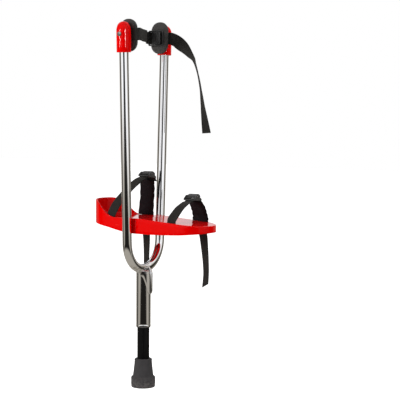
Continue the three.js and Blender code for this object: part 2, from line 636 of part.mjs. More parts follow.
function calfStrap() {
  const padFace = armX(PAD_CENTRE_Z) - PAD_BACK - PAD_THICK;
  const buckleFloor = padFace - 2.8;
  const group = placed([buckleFloor, 5, PAD_CENTRE_Z], [0, -1, 0], [-1, 0, 0]);
  buckle('calf', CALF_BUCKLE, group);
  const layer = armX(PAD_CENTRE_Z) - CAP_FLAT - STRAP_LAYER / 2;
  const slide = buckleFloor - 1.2;
  const z = PAD_CENTRE_Z;
  const slotY = (PAD_SLOT[0] + PAD_SLOT[1]) / 2;
  const armUp = [Math.sin(SPLAY), 0, Math.cos(SPLAY)];
  const armUpLeft = [-Math.sin(SPLAY), 0, Math.cos(SPLAY)];
  const stations = [
    { at: [-layer, 12, z + 2], across: armUpLeft },
    { at: [-layer, -1, z + 2], across: armUpLeft },
    { at: [-layer, -9, z + 2], across: armUpLeft },
    { at: [-layer + 0.1, -18.5, z + 2], across: armUpLeft },
    { at: [-layer + 3.5, -23, z + 2.5], across: UP },
    { at: [-layer + 12, -22.5, z + 3], across: UP },
    { at: [-20, -9, z + 3], across: UP },
    { at: [8, 4.5, z + 2], across: UP },
    { at: [slide - 14, 17, z + 1], across: UP },
    { at: [slide - 5, 23, z + 0.3], across: UP },
    { at: [slide - 2.2, 24.7, z], across: UP },
    { at: [slide - 0.2, 23.4, z], across: UP },
    { at: [slide, 20.6, z], across: UP },
    { at: [slide, 8, z], across: UP },
    { at: [slide, -2, z], across: UP },
    { at: [slide + 4.5, slotY + 0.2, z], across: UP },
    { at: [(slide + layer) / 2, slotY, z], across: armUp },
    { at: [layer - 2.2, slotY - 1.6, z], across: armUp },
    { at: [layer, slotY - 6.5, z], across: armUp },
    { at: [layer, -24, z - 1], across: armUp },
    { at: [layer - 2, -38, z - 6], across: [0.1, 0.05, 1] },
    { at: [layer - 3, -50, z - 14], across: [0.35, 0.2, 0.9] },
    { at: [layer - 4, -63, z - 25.5], across: [0.6, 0.3, 0.72] },
    { at: [layer - 4, -75, z - 38.5], across: [0.75, 0.38, 0.5] },
    { at: [layer - 4, -83, z - 49], across: [0.85, 0.45, 0.2] },
    { at: [layer - 4, -92, z - 73], across: [0.88, 0.47, 0] },
    { at: [layer - 4, -99.5, z - 106], across: [0.9, 0.43, 0] },
    { at: [layer - 4, -104.5, z - 138.5], across: [0.95, 0.25, 0] },
    { at: [layer - 4, -114, z - 193.5], across: [0.98, -0.2, 0] },
  ];
  const webbing = strap(stations, CALF_WEBBING, STRAP_THICK, 2);
  const screwBore = barAlongX(SCREW_R + GAP, -20, 20, SCREW_Z)
    .rotateY(SPLAY).translate(armX(CAP_BOTTOM), 0, CAP_BOTTOM).rotateZ(Math.PI);
  add('calf_strap', cut(webbing, screwBore), 'webbing');
}

bentFrame();
sleeve();
gusset();
springLeg();
footplate();
plateBracket();
calfSide('left', -1);
calfSide('right', 1);
calfStrap();
Object.entries(FOOT_STRAPS).forEach(([name, plan]) => footStrap(name, plan));

export default stilt;
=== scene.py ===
"""The looks of a strap-on spring stilt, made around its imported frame.

Shapes are written in millimetres and become metres where a mesh is made. Z is up, X runs across
the two arms, the wearer's toes point along -Y, and the origin is the middle of the foot's ground
face.
"""

import math

import bmesh
import bpy
from mathutils import Matrix, Vector, noise


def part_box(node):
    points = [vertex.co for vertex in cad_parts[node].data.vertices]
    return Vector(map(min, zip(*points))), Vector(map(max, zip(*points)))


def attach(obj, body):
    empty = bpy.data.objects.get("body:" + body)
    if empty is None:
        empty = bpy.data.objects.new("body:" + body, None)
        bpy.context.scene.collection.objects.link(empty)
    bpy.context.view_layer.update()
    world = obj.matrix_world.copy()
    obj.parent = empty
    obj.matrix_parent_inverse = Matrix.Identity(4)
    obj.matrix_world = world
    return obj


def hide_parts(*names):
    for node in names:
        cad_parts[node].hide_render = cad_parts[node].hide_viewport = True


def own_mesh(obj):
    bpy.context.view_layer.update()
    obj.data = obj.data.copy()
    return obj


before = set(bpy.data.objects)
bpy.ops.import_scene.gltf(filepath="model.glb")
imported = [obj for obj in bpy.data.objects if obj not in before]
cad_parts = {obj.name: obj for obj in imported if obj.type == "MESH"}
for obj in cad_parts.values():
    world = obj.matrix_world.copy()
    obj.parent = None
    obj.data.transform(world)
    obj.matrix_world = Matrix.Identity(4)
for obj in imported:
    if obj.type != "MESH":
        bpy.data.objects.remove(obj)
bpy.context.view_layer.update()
MM = 0.001

# Driving dimensions, in millimetres
TUBE_R = 9.5
TUBE_WALL = 1.5
BEND_R = 58.5
BEND_CENTRE_Z = 303.5
SPLAY = 0.0354  # an arm's lean, in radians
GAP = 0.3
SLEEVE_R = 15.2
SLEEVE_BORE = 14.0
PLUNGER_BORE = 10.5
WELD_BOTTOM = 231.0
WELD_TOP = 259.0
SADDLE_THICK = 2.4
DECK_Z = 352.0
DECK_THICK = 5.0
DECK_BREAK_Y = -20.0
TOE_DECK_Z = 341.5
PLATE_WALL = 3.5
HEEL_ARC_Y = 61.0
TOE_ARC_Y = -116.0
PLATE_HALF_WIDTH = 49.0
SLOT_X = 43.3
SLOT_HALF_WIDTH = 2.1
CUP_START_Y = 44.0
CAP_BOTTOM = 683.0
CAP_HEIGHT = 61.0
CAP_R = 14.5
CAP_FLAT = 11.0
CAP_SCREW_Z = 36.0
PAD_Z = 34.0  # middle of a calf pad above the cap's bottom
PAD_HALF_WIDTH = 20.0
PAD_HALF_HEIGHT = 32.5
PAD_BACK = 15.5
PAD_THICK = 6.5
BACKING_THICK = 2.0
STRAP_ROOM = 2.2  # between a cap and the plate behind its pad
SCREW_R = 2.5
NUT_POCKET_R = 5.6
BOLT_R = 2.9
BOLT_Z = 335.0
DECK_SCREW_R = 1.9
DECK_SCREW_X = 22.0
RIVET_R = 2.0
RIVET_X = -32.0
CALF_SLOT_Y = (-8.5, -3.5)
CALF_WEBBING = 25.0
FOOT_WEBBING = 20.0
STRAP_THICK = 1.6
EDGE_THINNING = 0.89  # of a strap's edge against its middle
INSTEP_PAD_THICK = 6.0
FOOT_BUCKLE = {"length": 30, "webbing": FOOT_WEBBING, "pin": -2, "lever": 14, "keepers": [-7.2]}
CALF_BUCKLE = {
    "length": 34, "webbing": CALF_WEBBING, "pin": 1, "lever": 12, "keepers": [-15.4, -5.8]}
BUCKLE_FLOOR = 2.0
BUCKLE_BAR = 2.5
BUCKLE_CHEEK = 2.5
CHEEK_STEP = 0.05  # a cheek's faces stand in from the base's sides by this much
PIN_Z = 6.0
PIN_R = 1.2
CAM_R = 3.3

CAMERA_AZIMUTH = -55.4  # in degrees, 0 being in front of the toes
UP = (0, 0, 1)
ACROSS_FOOT = (0, 1, 0)

# Where each foot strap goes. A station of a tail ends with its turn about Z in degrees.
FOOT_STRAPS = {
    "rear": {
        "near": 52, "far": 24, "at": (5, -4.5, 434.5), "along": (1, 0, -0.2), "cut": 0,
        "rise": [
            (-43.4, 47.5, 362), (-42.6, 39, 377), (-38.5, 26.5, 394), (-28, 12.5, 414),
            (-17.5, 0.5, 427.5),
        ],
        "pad": [
            (14, 1.5, 425.7), (23, 7, 419.2), (31.5, 13, 406.5), (38, 18, 389.5), (42, 22, 373),
            (43.5, 24.3, 360), (43.6, 24.5, 353.2),
        ],
        "tail": [
            (43.3, 24, 335, 0), (43.3, 23.8, 322, 2), (42.8, 22.3, 300, 12), (42.5, 22, 275, 20),
            (42.5, 22.5, 245, 25), (43, 24, 212, 20),
        ],
    },
    "front": {
        "near": -96, "far": -110, "at": (3, -116, 392), "along": (1, 0, -0.06), "cut": 12,
        "rise": [
            (-43.6, -97.5, 353.5), (-42.2, -102.5, 362), (-36.5, -110.5, 375.5),
            (-28, -114.5, 383), (-18.5, -116, 387.3),
        ],
        "pad": [
            (14.5, -114.5, 386), (24, -113, 380.5), (32.5, -111.5, 371.5), (39.5, -110, 362),
            (43.1, -109.6, 353.5), (43.3, -109.5, 347.6),
        ],
        "tail": [
            (43.3, -111.5, 334, 0), (43, -117, 316, 4), (42.5, -120.5, 292, 12),
            (43, -123, 265, 20), (44, -123.5, 238, 25), (44.5, -121, 208, 22),
        ],
    },
}


def corners(node):
    """Lowest and highest corner of a CAD node, in millimetres."""
    low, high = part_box(node)
    return low / MM, high / MM


# Shape tools


def finished(mesh, sharp_angle=35):
    """Merges doubled points, turns the faces outwards and shades the mesh smooth."""
    bm = bmesh.new()
    bm.from_mesh(mesh)
    bmesh.ops.remove_doubles(bm, verts=bm.verts, dist=2e-6)
    bmesh.ops.dissolve_degenerate(bm, edges=bm.edges, dist=1e-7)
    bmesh.ops.recalc_face_normals(bm, faces=bm.faces)
    bm.to_mesh(mesh)
    bm.free()
    mesh.shade_smooth()
    mesh.set_sharp_from_angle(angle=math.radians(sharp_angle))
    return mesh


def mesh_of(verts, faces, uvs=None, sharp_angle=35):
    """A mesh of points in millimetres, with a UV for each point if it needs them."""
    mesh = bpy.data.meshes.new("shape")
    mesh.from_pydata([tuple(c * MM for c in v) for v in verts], [], faces)
    if uvs:
        layer = mesh.uv_layers.new(name="strap")
        for loop in mesh.loops:
            layer.data[loop.index].uv = uvs[loop.vertex_index]
    return finished(mesh, sharp_angle)


def loft(rings, start_cap=True, end_cap=True):
    """Points and faces of a skin over closed rings that have the same number of points."""
    count = len(rings[0])
    verts = [point for ring in rings for point in ring]
    faces = []
    for first in range(0, len(verts) - count, count):
        for i in range(count):
            j = (i + 1) % count
            faces.append((first + i, first + j, first + count + j, first + count + i))
    if start_cap:
        faces.append(tuple(reversed(range(count))))
    if end_cap:
        faces.append(tuple(range(len(verts) - count, len(verts))))
    return verts, faces


def rounded(points, radius=0.4, steps=4, closed=True):
    """A polyline with its corners rounded. A corner's third number is its own radius."""
    result = []
    count = len(points)
    for i, corner in enumerate(points):
        here = Vector(corner[:2])
        own = corner[2] if len(corner) > 2 else radius
        if own == 0 or (not closed and i in (0, count - 1)):
            result.append(here)
            continue
        before = Vector(points[i - 1][:2]) - here
        after = Vector(points[(i + 1) % count][:2]) - here
        reach = min(own, 0.45 * before.length, 0.45 * after.length)
        start = here + before.normalized() * reach
        end = here + after.normalized() * reach
        for k in range(steps + 1):
            t = k / steps
            result.append(start * (1 - t) ** 2 + here * 2 * t * (1 - t) + end * t * t)
    return result


def circle(count, radius):
    """Evenly spaced points of a circle, anticlockwise."""
    turns = [2 * math.pi * i / count for i in range(count)]
    return [(radius * math.cos(turn), radius * math.sin(turn)) for turn in turns]


def lathe(profile, segments=72):
    """A turned shape about Z. The profile closes on itself or starts and ends on the axis."""
    rings = [[(x, y, z) for x, y in circle(segments, radius)] for radius, z in profile]
    return mesh_of(*loft(rings, False, False))


def turned(points, radius=0.4, segments=72):
    """A turned shape whose profile runs up the outside and closes down the bore."""
    outline = rounded(points, radius)
    return lathe([*outline, outline[0]], segments)


def turned_solid(points, radius=0.4, segments=72):
    """A turned shape whose profile starts and ends on the axis."""
    return lathe(rounded(points, radius, closed=False), segments)


def offset(outline, distance):
    """A closed outline moved inwards. The outline runs anticlockwise."""
    moved = []
    for i, here in enumerate(outline):
        before = (here - outline[i - 1]).normalized()
        after = (outline[(i + 1) % len(outline)] - here).normalized()
        middle = (before + after).normalized()
        inward = Vector((-middle.y, middle.x))
        stretch = 1 / max(0.5, middle.dot(after))
        moved.append(here + inward * distance * stretch)
    return moved


def plate(outline, low, high, bevel=0.4, steps=3):
    """A flat shape with rounded edges, its outline in the first two axes."""
    rings = []
    for k in range(steps + 1):
        turn = math.pi / 2 * k / steps
        edge = offset(outline, bevel * (1 - math.sin(turn)))
        rings.append([(p.x, p.y, low + bevel * (1 - math.cos(turn))) for p in edge])
    for k in range(steps + 1):
        turn = math.pi / 2 * k / steps
        edge = offset(outline, bevel * (1 - math.cos(turn)))
        rings.append([(p.x, p.y, high - bevel * (1 - math.sin(turn))) for p in edge])
    return mesh_of(*loft(rings))


def rounded_box(half_width, half_height, radius, segments=12):
    """An anticlockwise rectangle with round corners."""
    outline = []
    quarters = ((1, -1, -90), (1, 1, 0), (-1, 1, 90), (-1, -1, 180))
    for sx, sy, start in quarters:
        centre = Vector((sx * (half_width - radius), sy * (half_height - radius)))
        for k in range(segments + 1):
            angle = math.radians(start + 90 * k / segments)
            outline.append(centre + Vector((math.cos(angle), math.sin(angle))) * radius)
    return outline


def sweep(points, acrosses, section_at, uv=False, sharp_angle=35, caps=True, slant=0):
    """
    A section swept along points. Each point has the direction of the section's first axis. The
    end is cut at a slant that takes that much off the section's negative side, or off its
    positive side when slant is negative.
    """
    points = [Vector(p) for p in points]
    steps_long = [(b - a).length for a, b in zip(points, points[1:])]
    rings = []
    uvs = []
    travelled = 0.0
    for i, here in enumerate(points):
        ahead = points[min(i + 1, len(points) - 1)]
        behind = points[max(i - 1, 0)]
        along = (ahead - behind).normalized()
        across = Vector(acrosses[i])
        across = (across - along * across.dot(along)).normalized()
        face = along.cross(across)
        section = section_at(i / (len(points) - 1))
        rings.append([here + across * a + face * b for a, b in section])
        if slant:
            left = sum(steps_long[i:])
            reach = max(a for a, _ in section)
            side = math.copysign(1, slant)
            cut = [abs(slant) * (reach - side * a) / (2 * reach) - left for a, _ in section]
            rings[-1] = [point - along * max(0, c) for point, c in zip(rings[-1], cut)]
        if i:
            travelled += (here - points[i - 1]).length
        uvs.extend((travelled, a) for a, _ in section)
    verts, faces = loft(rings, caps, caps)
    return mesh_of(verts, faces, uvs if uv else None, sharp_angle)


def catmull(points, steps):
    """Centripetal Catmull-Rom points through the given ones, with steps points to a span."""
    points = [Vector(p) for p in points]
    padded = [points[0] * 2 - points[1], *points, points[-1] * 2 - points[-2]]
    result = []
    for i in range(len(points) - 1):
        p0, p1, p2, p3 = padded[i : i + 4]
        t1 = (p1 - p0).length ** 0.5
        t2 = t1 + (p2 - p1).length ** 0.5
        t3 = t2 + (p3 - p2).length ** 0.5
        for k in range(steps):
            t = t1 + (t2 - t1) * k / steps
            a1 = p0 * ((t1 - t) / t1) + p1 * (t / t1)
            a2 = p1 * ((t2 - t) / (t2 - t1)) + p2 * ((t - t1) / (t2 - t1))
            a3 = p2 * ((t3 - t) / (t3 - t2)) + p3 * ((t - t2) / (t3 - t2))
            b1 = a1 * ((t2 - t) / t2) + a2 * (t / t2)
            b2 = a2 * ((t3 - t) / (t3 - t1)) + a3 * ((t - t1) / (t3 - t1))
            result.append(b1 * ((t2 - t) / (t2 - t1)) + b2 * ((t - t1) / (t2 - t1)))
    result.append(points[-1])
    return result


def block(x0, x1, y0, y1, z0, z1, bevel=0.2):
    """A box with rounded edges, all of them inside the given limits."""
    outline = [Vector(p) for p in ((x0, y0), (x1, y0), (x1, y1), (x0, y1))]
    return plate(rounded([(*p, 2 * bevel) for p in outline], steps=3), z0, z1, bevel)


def moved(mesh, matrix):
    """The mesh turned and moved by a matrix whose translation is in millimetres."""
    metres = matrix.copy()
    metres.translation = matrix.translation * MM
    mesh.transform(metres)
    return mesh


# Turned shapes are drawn about Z and profiles in two axes. These lay them where they belong.
ABOUT_X = Matrix(((0, 0, 1, 0), (0, 1, 0, 0), (-1, 0, 0, 0), (0, 0, 0, 1)))
ABOUT_Y = Matrix(((1, 0, 0, 0), (0, 0, 1, 0), (0, -1, 0, 0), (0, 0, 0, 1)))
PROFILE_XZ = Matrix(((1, 0, 0, 0), (0, 0, -1, 0), (0, 1, 0, 0), (0, 0, 0, 1)))


def across_y(profile, half_width, bevel=0.4):
    """A profile in X and Z, drawn anticlockwise, made half_width deep on both sides of Y = 0."""
    return moved(plate(profile, -half_width, half_width, bevel), PROFILE_XZ)


def rod(radius, start, end, turn, bevel=0.3):
    """A round bar between two places on the axis that turn lays it along."""
    profile = [(0, start), (radius, start, bevel), (radius, end, bevel), (0, end)]
    return moved(turned_solid(profile, bevel, 32), turn)


def along_x(z):
    """From an axis up Z to one along X at a height."""
    return Matrix.Translation((0, 0, z)) @ ABOUT_X


def hole(radius, bottom, top, x, y):
    """A cutter for an upright hole that leaves a gap round its fastener."""
    return rod(radius + GAP, bottom, top, Matrix.Translation((x, y, 0)))


def cap_screw_hole(start, end):
    """A cutter for the hole of a cap's screw, in the arm's own axes."""
    return rod(SCREW_R + GAP, start, end, along_x(CAP_SCREW_Z))


def cross_recess(arm, half_width, low, high):
    """A cutter for the cross in a screw's head."""
    a, b = arm, half_width
    corners_at = [(a, -b), (a, b), (b, b), (b, a), (-b, a), (-b, b)]
    corners_at += [(-x, -y) for x, y in corners_at]
    return plate([Vector(p) for p in corners_at], low, high, 0.1)


def hexagon(radius):
    """The outline of a nut or a bolt's head, from its middle to a corner."""
    return [Vector(point) for point in circle(6, radius)]


def boolean(mesh, tools, operation="DIFFERENCE", sharp_angle=35):
    """The mesh cut by, or united with, each of the tools."""
    target = bpy.data.objects.new("target", mesh)
    bpy.context.scene.collection.objects.link(target)
    helpers = []
    for tool in tools:
        helper = bpy.data.objects.new("tool", tool)
        bpy.context.scene.collection.objects.link(helper)
        helpers.append(helper)
        modifier = target.modifiers.new("boolean", "BOOLEAN")
        modifier.operation = operation
        modifier.solver = "EXACT"
        modifier.object = helper
    evaluated = target.evaluated_get(bpy.context.evaluated_depsgraph_get())
    result = bpy.data.meshes.new_from_object(evaluated)
    for helper in (target, *helpers):
        bpy.data.objects.remove(helper)
    result.shade_smooth()
    result.set_sharp_from_angle(angle=math.radians(sharp_angle))
    return result


# Procedural materials


class Shade:
    """A number in a shader, so that a pattern is written as arithmetic."""

    def __init__(self, tree, socket):
        self.tree = tree
        self.socket = socket

    def math(self, operation, *others):
        node = self.tree.nodes.new("ShaderNodeMath")
        node.operation = operation
        for i, value in enumerate((self, *others)):
            if isinstance(value, Shade):
                self.tree.links.new(value.socket, node.inputs[i])
            else:
                node.inputs[i].default_value = value
        return Shade(self.tree, node.outputs[0])

    def __add__(self, other):
        return self.math("ADD", other)

    def __sub__(self, other):
        return self.math("SUBTRACT", other)

    def __mul__(self, other):
        return self.math("MULTIPLY", other)

    def wave(self):
        """A cosine of the number, which counts whole waves, from 0 to 1."""
        return (self * (2 * math.pi)).math("COSINE") * 0.5 + 0.5

    def between(self, low, high):
        """0 at low, 1 at high and smooth in between."""
        node = self.tree.nodes.new("ShaderNodeMapRange")
        node.interpolation_type = "SMOOTHSTEP"
        self.tree.links.new(self.socket, node.inputs["Value"])
        node.inputs["From Min"].default_value = low
        node.inputs["From Max"].default_value = high
        return Shade(self.tree, node.outputs["Result"])

    def scaled(self, low, high):
        """A share from 0 to 1 as a number from low to high."""
        return self * (high - low) + low


def mixed(tree, share, first, second):
    """A colour between two colours, each a socket or three numbers."""
    node = tree.nodes.new("ShaderNodeMix")
    node.data_type = "RGBA"
    tree.links.new(share.socket, node.inputs["Factor"])
    ends = [socket for socket in node.inputs if socket.type == "RGBA"]
    for end, value in zip(ends, (first, second)):
        if isinstance(value, bpy.types.NodeSocket):
            tree.links.new(value, end)
        else:
            end.default_value = (*value, 1)
    return [socket for socket in node.outputs if socket.type == "RGBA"][0]


class Finish:
    """A procedural material under construction."""

    def __init__(self, name, metallic=0.0, specular=0.5, sheen=0.0):
        self.material = bpy.data.materials.new(name)
        self.material.use_nodes = True
        self.tree = self.material.node_tree
        self.shader = self.tree.nodes["Principled BSDF"]
        self.shader.inputs["Metallic"].default_value = metallic
        self.shader.inputs["Specular IOR Level"].default_value = specular
        self.shader.inputs["Sheen Weight"].default_value = sheen
        self.normal = None
        self.place = self.tree.nodes.new("ShaderNodeTexCoord").outputs["Object"]

    def axis(self, name, source=None):
        """One coordinate in millimetres of the place on the object, or of another vector."""
        node = self.tree.nodes.new("ShaderNodeSeparateXYZ")
        self.tree.links.new(source or self.place, node.inputs[0])
        number = Shade(self.tree, node.outputs[name])
        return number if source else number * 1000

    def noise(self, size, detail=3, stretch=(1, 1, 1), rough=0.55):
        """Noise from 0 to 1 with features of about the given size in millimetres."""
        mapping = self.tree.nodes.new("ShaderNodeMapping")
        mapping.inputs["Scale"].default_value = [1 / (MM * size * s) for s in stretch]
        self.tree.links.new(self.place, mapping.inputs["Vector"])
        node = self.tree.nodes.new("ShaderNodeTexNoise")
        node.inputs["Scale"].default_value = 1
        node.inputs["Detail"].default_value = detail
        node.inputs["Roughness"].default_value = rough
        self.tree.links.new(mapping.outputs[0], node.inputs["Vector"])
        return Shade(self.tree, node.outputs["Fac"])

    def cells(self, size):
        """Distance to the nearest of scattered points, about 0 to 1, for a pebbled relief and the
        painted shade between its bumps.
        """
        node = self.tree.nodes.new("ShaderNodeTexVoronoi")
        node.inputs["Scale"].default_value = 1 / (MM * size)
        self.tree.links.new(self.place, node.inputs["Vector"])
        return Shade(self.tree, node.outputs["Distance"])

    def edges(self):
        """1 on outer edges and 0 elsewhere."""
        node = self.tree.nodes.new("ShaderNodeNewGeometry")
        return Shade(self.tree, node.outputs["Pointiness"]).between(0.52, 0.6)

    def strap_axes(self):
        """Millimetres along a strap and across it."""
        uv = self.tree.nodes.new("ShaderNodeUVMap")
        uv.uv_map = "strap"
        return self.axis("X", uv.outputs[0]), self.axis("Y", uv.outputs[0])

    def mix(self, share, first, second):
        return mixed(self.tree, share, first, second)

    def colour(self, socket):
        self.tree.links.new(socket, self.shader.inputs["Base Color"])

    def rough(self, value):
        self.tree.links.new(value.socket, self.shader.inputs["Roughness"])

    def bump(self, height, depth, strength=1.0):
        """Adds relief of the given depth in millimetres."""
        node = self.tree.nodes.new("ShaderNodeBump")
        node.inputs["Strength"].default_value = strength
        node.inputs["Distance"].default_value = depth * MM
        self.tree.links.new(height.socket, node.inputs["Height"])
        if self.normal:
            self.tree.links.new(self.normal, node.inputs["Normal"])
        self.normal = node.outputs[0]
        self.tree.links.new(self.normal, self.shader.inputs["Normal"])


def chrome():
    """Polished chrome plate with faint polishing lines, smudges and heat-stained welds."""
    finish = Finish("chrome plate", metallic=1)
    smudge = finish.noise(35, detail=4)
    lines = finish.noise(1.2, detail=2, stretch=(1, 1, 30))
    height = finish.axis("Z")
    weld = height.between(WELD_BOTTOM, WELD_BOTTOM + 10) - height.between(WELD_TOP - 9, WELD_TOP)
    bright = finish.mix(smudge, (0.86, 0.86, 0.875), (0.80, 0.80, 0.81))
    stain = weld * finish.noise(6, detail=4).between(0.35, 0.7)
    finish.colour(finish.mix(stain, bright, (0.5, 0.47, 0.43)))
    finish.rough(smudge.between(0.45, 0.8).scaled(0.03, 0.09) + lines * 0.02 + weld * 0.12)
    finish.bump(lines, 0.002, 0.2)
    return finish.material


def black_enamel():
    """Satin black enamel, rubbed along the tube by the bush."""
    finish = Finish("black enamel", specular=0.1)
    rubbed = finish.noise(1.6, detail=4, stretch=(1, 1, 40)).between(0.55, 0.75)
    cloud = finish.noise(18, detail=3)
    finish.colour(finish.mix(rubbed * cloud, (0.003, 0.003, 0.003), (0.018, 0.018, 0.019)))
    finish.rough(cloud.scaled(0.3, 0.46) + rubbed * 0.08)
    finish.bump(finish.noise(0.9, detail=3), 0.05, 0.25)
    finish.bump(rubbed, 0.03, 0.3)
    return finish.material


def red_plastic():
    """Glossy moulded red plastic with faint flow marks, hairline scratches and dull scuffs."""
    finish = Finish("red plastic", specular=0.09)
    cloud = finish.noise(45, detail=3)
    flow = finish.noise(14, detail=4, stretch=(1, 4, 1))
    scratches = finish.noise(0.8, detail=2, stretch=(1, 26, 3)).between(0.7, 0.76)
    scuffs = finish.noise(11, detail=6, rough=0.7).between(0.6, 0.74)
    base = finish.mix(cloud, (0.69, 0.0, 0.0), (0.6, 0.0, 0.0))
    worn = finish.mix(finish.edges() * 0.4, base, (0.8, 0.02, 0.012))
    finish.colour(finish.mix(scratches * 0.25, worn, (0.8, 0.06, 0.045)))
    finish.rough(flow.scaled(0.05, 0.1) + scuffs * 0.09 + scratches * 0.15)
    finish.bump(finish.noise(4, detail=2), 0.04, 0.12)
    finish.bump(scratches, 0.02, 0.2)
    return finish.material


def grey_rubber():
    """Moulded grey rubber, dusty low down where it meets the ground."""
    finish = Finish("grey rubber", specular=0.12)
    cloud = finish.noise(9, detail=5)
    dust = finish.axis("Z").between(26, 2) * finish.noise(4, detail=5).between(0.35, 0.7)
    base = finish.mix(cloud, (0.058, 0.055, 0.057), (0.038, 0.036, 0.037))
    dusty = finish.mix(dust * 0.6, base, (0.17, 0.16, 0.15))
    finish.colour(finish.mix(finish.edges() * 0.5, dusty, (0.13, 0.125, 0.125)))
    finish.rough(cloud.scaled(0.62, 0.82))
    finish.bump(finish.noise(1.1, detail=4), 0.12, 0.5)
    finish.bump(cloud, 0.2, 0.2)
    return finish.material


def pad_foam():
    """Closed-cell foam with a pebbled skin, and painted shade in the creases between its bumps."""
    finish = Finish("pad foam", specular=0.05, sheen=0.04)
    pebble_relief_and_painted_shade = finish.cells(1.1)
    cloud = finish.noise(12, detail=4)
    base = finish.mix(cloud, (0.07, 0.066, 0.063), (0.048, 0.045, 0.043))
    # Painted shade: the colour darkens in the creases between the pebbled bumps.
    finish.colour(finish.mix(pebble_relief_and_painted_shade.between(0.45, 0.75) * 0.6, base, (0.032, 0.03, 0.029)))
    finish.rough(cloud.scaled(0.68, 0.86))
    finish.bump(pebble_relief_and_painted_shade * -1 + 1, 0.3, 0.7)
    finish.bump(finish.noise(0.5, detail=2), 0.05, 0.3)
    return finish.material


def webbing():
    """Black polypropylene webbing: rows of twisted yarn with tighter edges, and painted shade between
    the yarns.
    """
    finish = Finish("webbing", specular=0.06, sheen=0.03)
    along, across = finish.strap_axes()
    row = across * (1 / 1.4)
    odd = row.math("FLOOR") * 0.5
    yarn = row.wave() * -1 + 1
    twist = (along * (1 / 1.9) + odd + across * 0.22).wave()
    weave_relief_and_painted_shade = yarn.math("SQRT") * (twist * 0.55 + 0.45)
    cloud = finish.noise(16, detail=4)
    fuzz = finish.noise(0.7, detail=3)
    # Painted shade: the colour is darker in the grooves of the weave and lighter on the yarns'
    # crests.
    base = finish.mix(weave_relief_and_painted_shade * cloud.scaled(0.7, 1.3), (0.007, 0.007, 0.0065), (0.036, 0.033, 0.03))
    finish.colour(finish.mix(fuzz.between(0.62, 0.75) * 0.5, base, (0.05, 0.045, 0.042)))
    finish.rough(weave_relief_and_painted_shade.scaled(0.82, 0.62))
    finish.bump(weave_relief_and_painted_shade, 0.28, 0.8)
    finish.bump(fuzz, 0.06, 0.4)
    return finish.material


def padded_fabric():
    """Black knitted nylon over foam: fine ribs along the pad with painted shade between them, brushed
    and slightly shiny.
    """
    finish = Finish("padded fabric", specular=0.04, sheen=0.03)
    along, across = finish.strap_axes()
    wale = (across * (1 / 0.9)).wave()
    loops = (along * (1 / 0.8) + (across * (1 / 0.9)).math("FLOOR") * 0.5).wave()
    knit_relief_and_painted_shade = wale * (loops * 0.5 + 0.5)
    cloud = finish.noise(14, detail=4)
    # Painted shade: the colour is darker in the hollows of the knit and lighter on its crests.
    base = finish.mix(knit_relief_and_painted_shade, (0.006, 0.005, 0.006), (0.02, 0.018, 0.02))
    finish.colour(finish.mix(cloud.between(0.5, 0.8) * 0.35, base, (0.03, 0.028, 0.03)))
    finish.rough(cloud.scaled(0.72, 0.9))
    finish.bump(knit_relief_and_painted_shade, 0.15, 0.6)
    quilting = (along * (1 / 21)).wave().between(0.97, 1) * -1
    finish.bump(quilting, 0.7, 0.7)
    finish.bump(cloud, 0.8, 0.35)
    return finish.material


def black_moulding(name, low, high):
    """Black moulded plastic with a fine spark-eroded grain and edges rubbed lighter."""
    finish = Finish(name, specular=0.2)
    cloud = finish.noise(10, detail=4)
    base = finish.mix(cloud, (0.034, 0.034, 0.034), (0.05, 0.049, 0.048))
    finish.colour(finish.mix(finish.edges() * 0.6, base, (0.07, 0.07, 0.072)))
    finish.rough(cloud.scaled(low, high))
    finish.bump(finish.noise(0.45, detail=2), 0.04, 0.35)
    return finish.material


def bare_steel(name, light, dark, low, high):
    """Plated or oiled steel with drawing lines and a mottled film."""
    finish = Finish(name, metallic=1)
    mottle = finish.noise(5, detail=5)
    lines = finish.noise(0.5, detail=2, stretch=(1, 1, 14))
    finish.colour(finish.mix(mottle, light, dark))
    finish.rough(mottle.scaled(low, high) + lines * 0.08)
    finish.bump(lines, 0.02, 0.3)
    finish.bump(mottle, 0.03, 0.2)
    return finish.material


MATERIALS = {
    "chrome_tube": chrome(),
    "black_enamel": black_enamel(),
    "red_plastic": red_plastic(),
    "grey_rubber": grey_rubber(),
    "pad_foam": pad_foam(),
    "webbing": webbing(),
    "padded_fabric": padded_fabric(),
    "buckle_plastic": black_moulding("buckle plastic", 0.3, 0.45),
    "black_plastic": black_moulding("black plastic", 0.4, 0.55),
    "zinc_steel": bare_steel("zinc steel", (0.46, 0.46, 0.47), (0.34, 0.34, 0.33), 0.22, 0.36),
    "spring_steel": bare_steel("spring steel", (0.34, 0.35, 0.37), (0.2, 0.2, 0.22), 0.25, 0.4),
}


def add(name, mesh, body, slot, *nodes):
    """A finished piece that rides on a body and stands for CAD nodes."""
    piece = bpy.data.objects.new(name, mesh)
    bpy.context.scene.collection.objects.link(piece)
    mesh.materials.clear()
    mesh.materials.append(MATERIALS[slot])
    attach(piece, body)
    if nodes:
        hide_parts(*nodes)
    return piece


# Bent frame, sleeve and gusset


def arm_x(z):
    """X of an arm's centreline at a height."""
    start = BEND_CENTRE_Z - BEND_R * math.sin(SPLAY)
    return BEND_R * math.cos(SPLAY) + (z - start) * math.tan(SPLAY)


def frame_path(top):
    """
    The tube's centreline: down one arm from a height, round the bend and up the other. The steps
    beside the bolts and the caps' screws keep the faces that those holes cut short.
    """
    arc_steps = 64
    turn = math.pi / 2 - SPLAY
    straight = (top, 700, 600, 450, 345, 325)
    path = [(-arm_x(z), 0, z) for z in straight]
    for k in range(arc_steps + 1):
        angle = -turn + 2 * turn * k / arc_steps
        path.append((BEND_R * math.sin(angle), 0, BEND_CENTRE_Z - BEND_R * math.cos(angle)))
    path.extend((arm_x(z), 0, z) for z in reversed(straight))
    return path


def bent_bar(top, radius):
    """A round bar along the frame's centreline."""
    path = frame_path(top)
    return sweep(path, [ACROSS_FOOT] * len(path), lambda _: circle(48, radius))


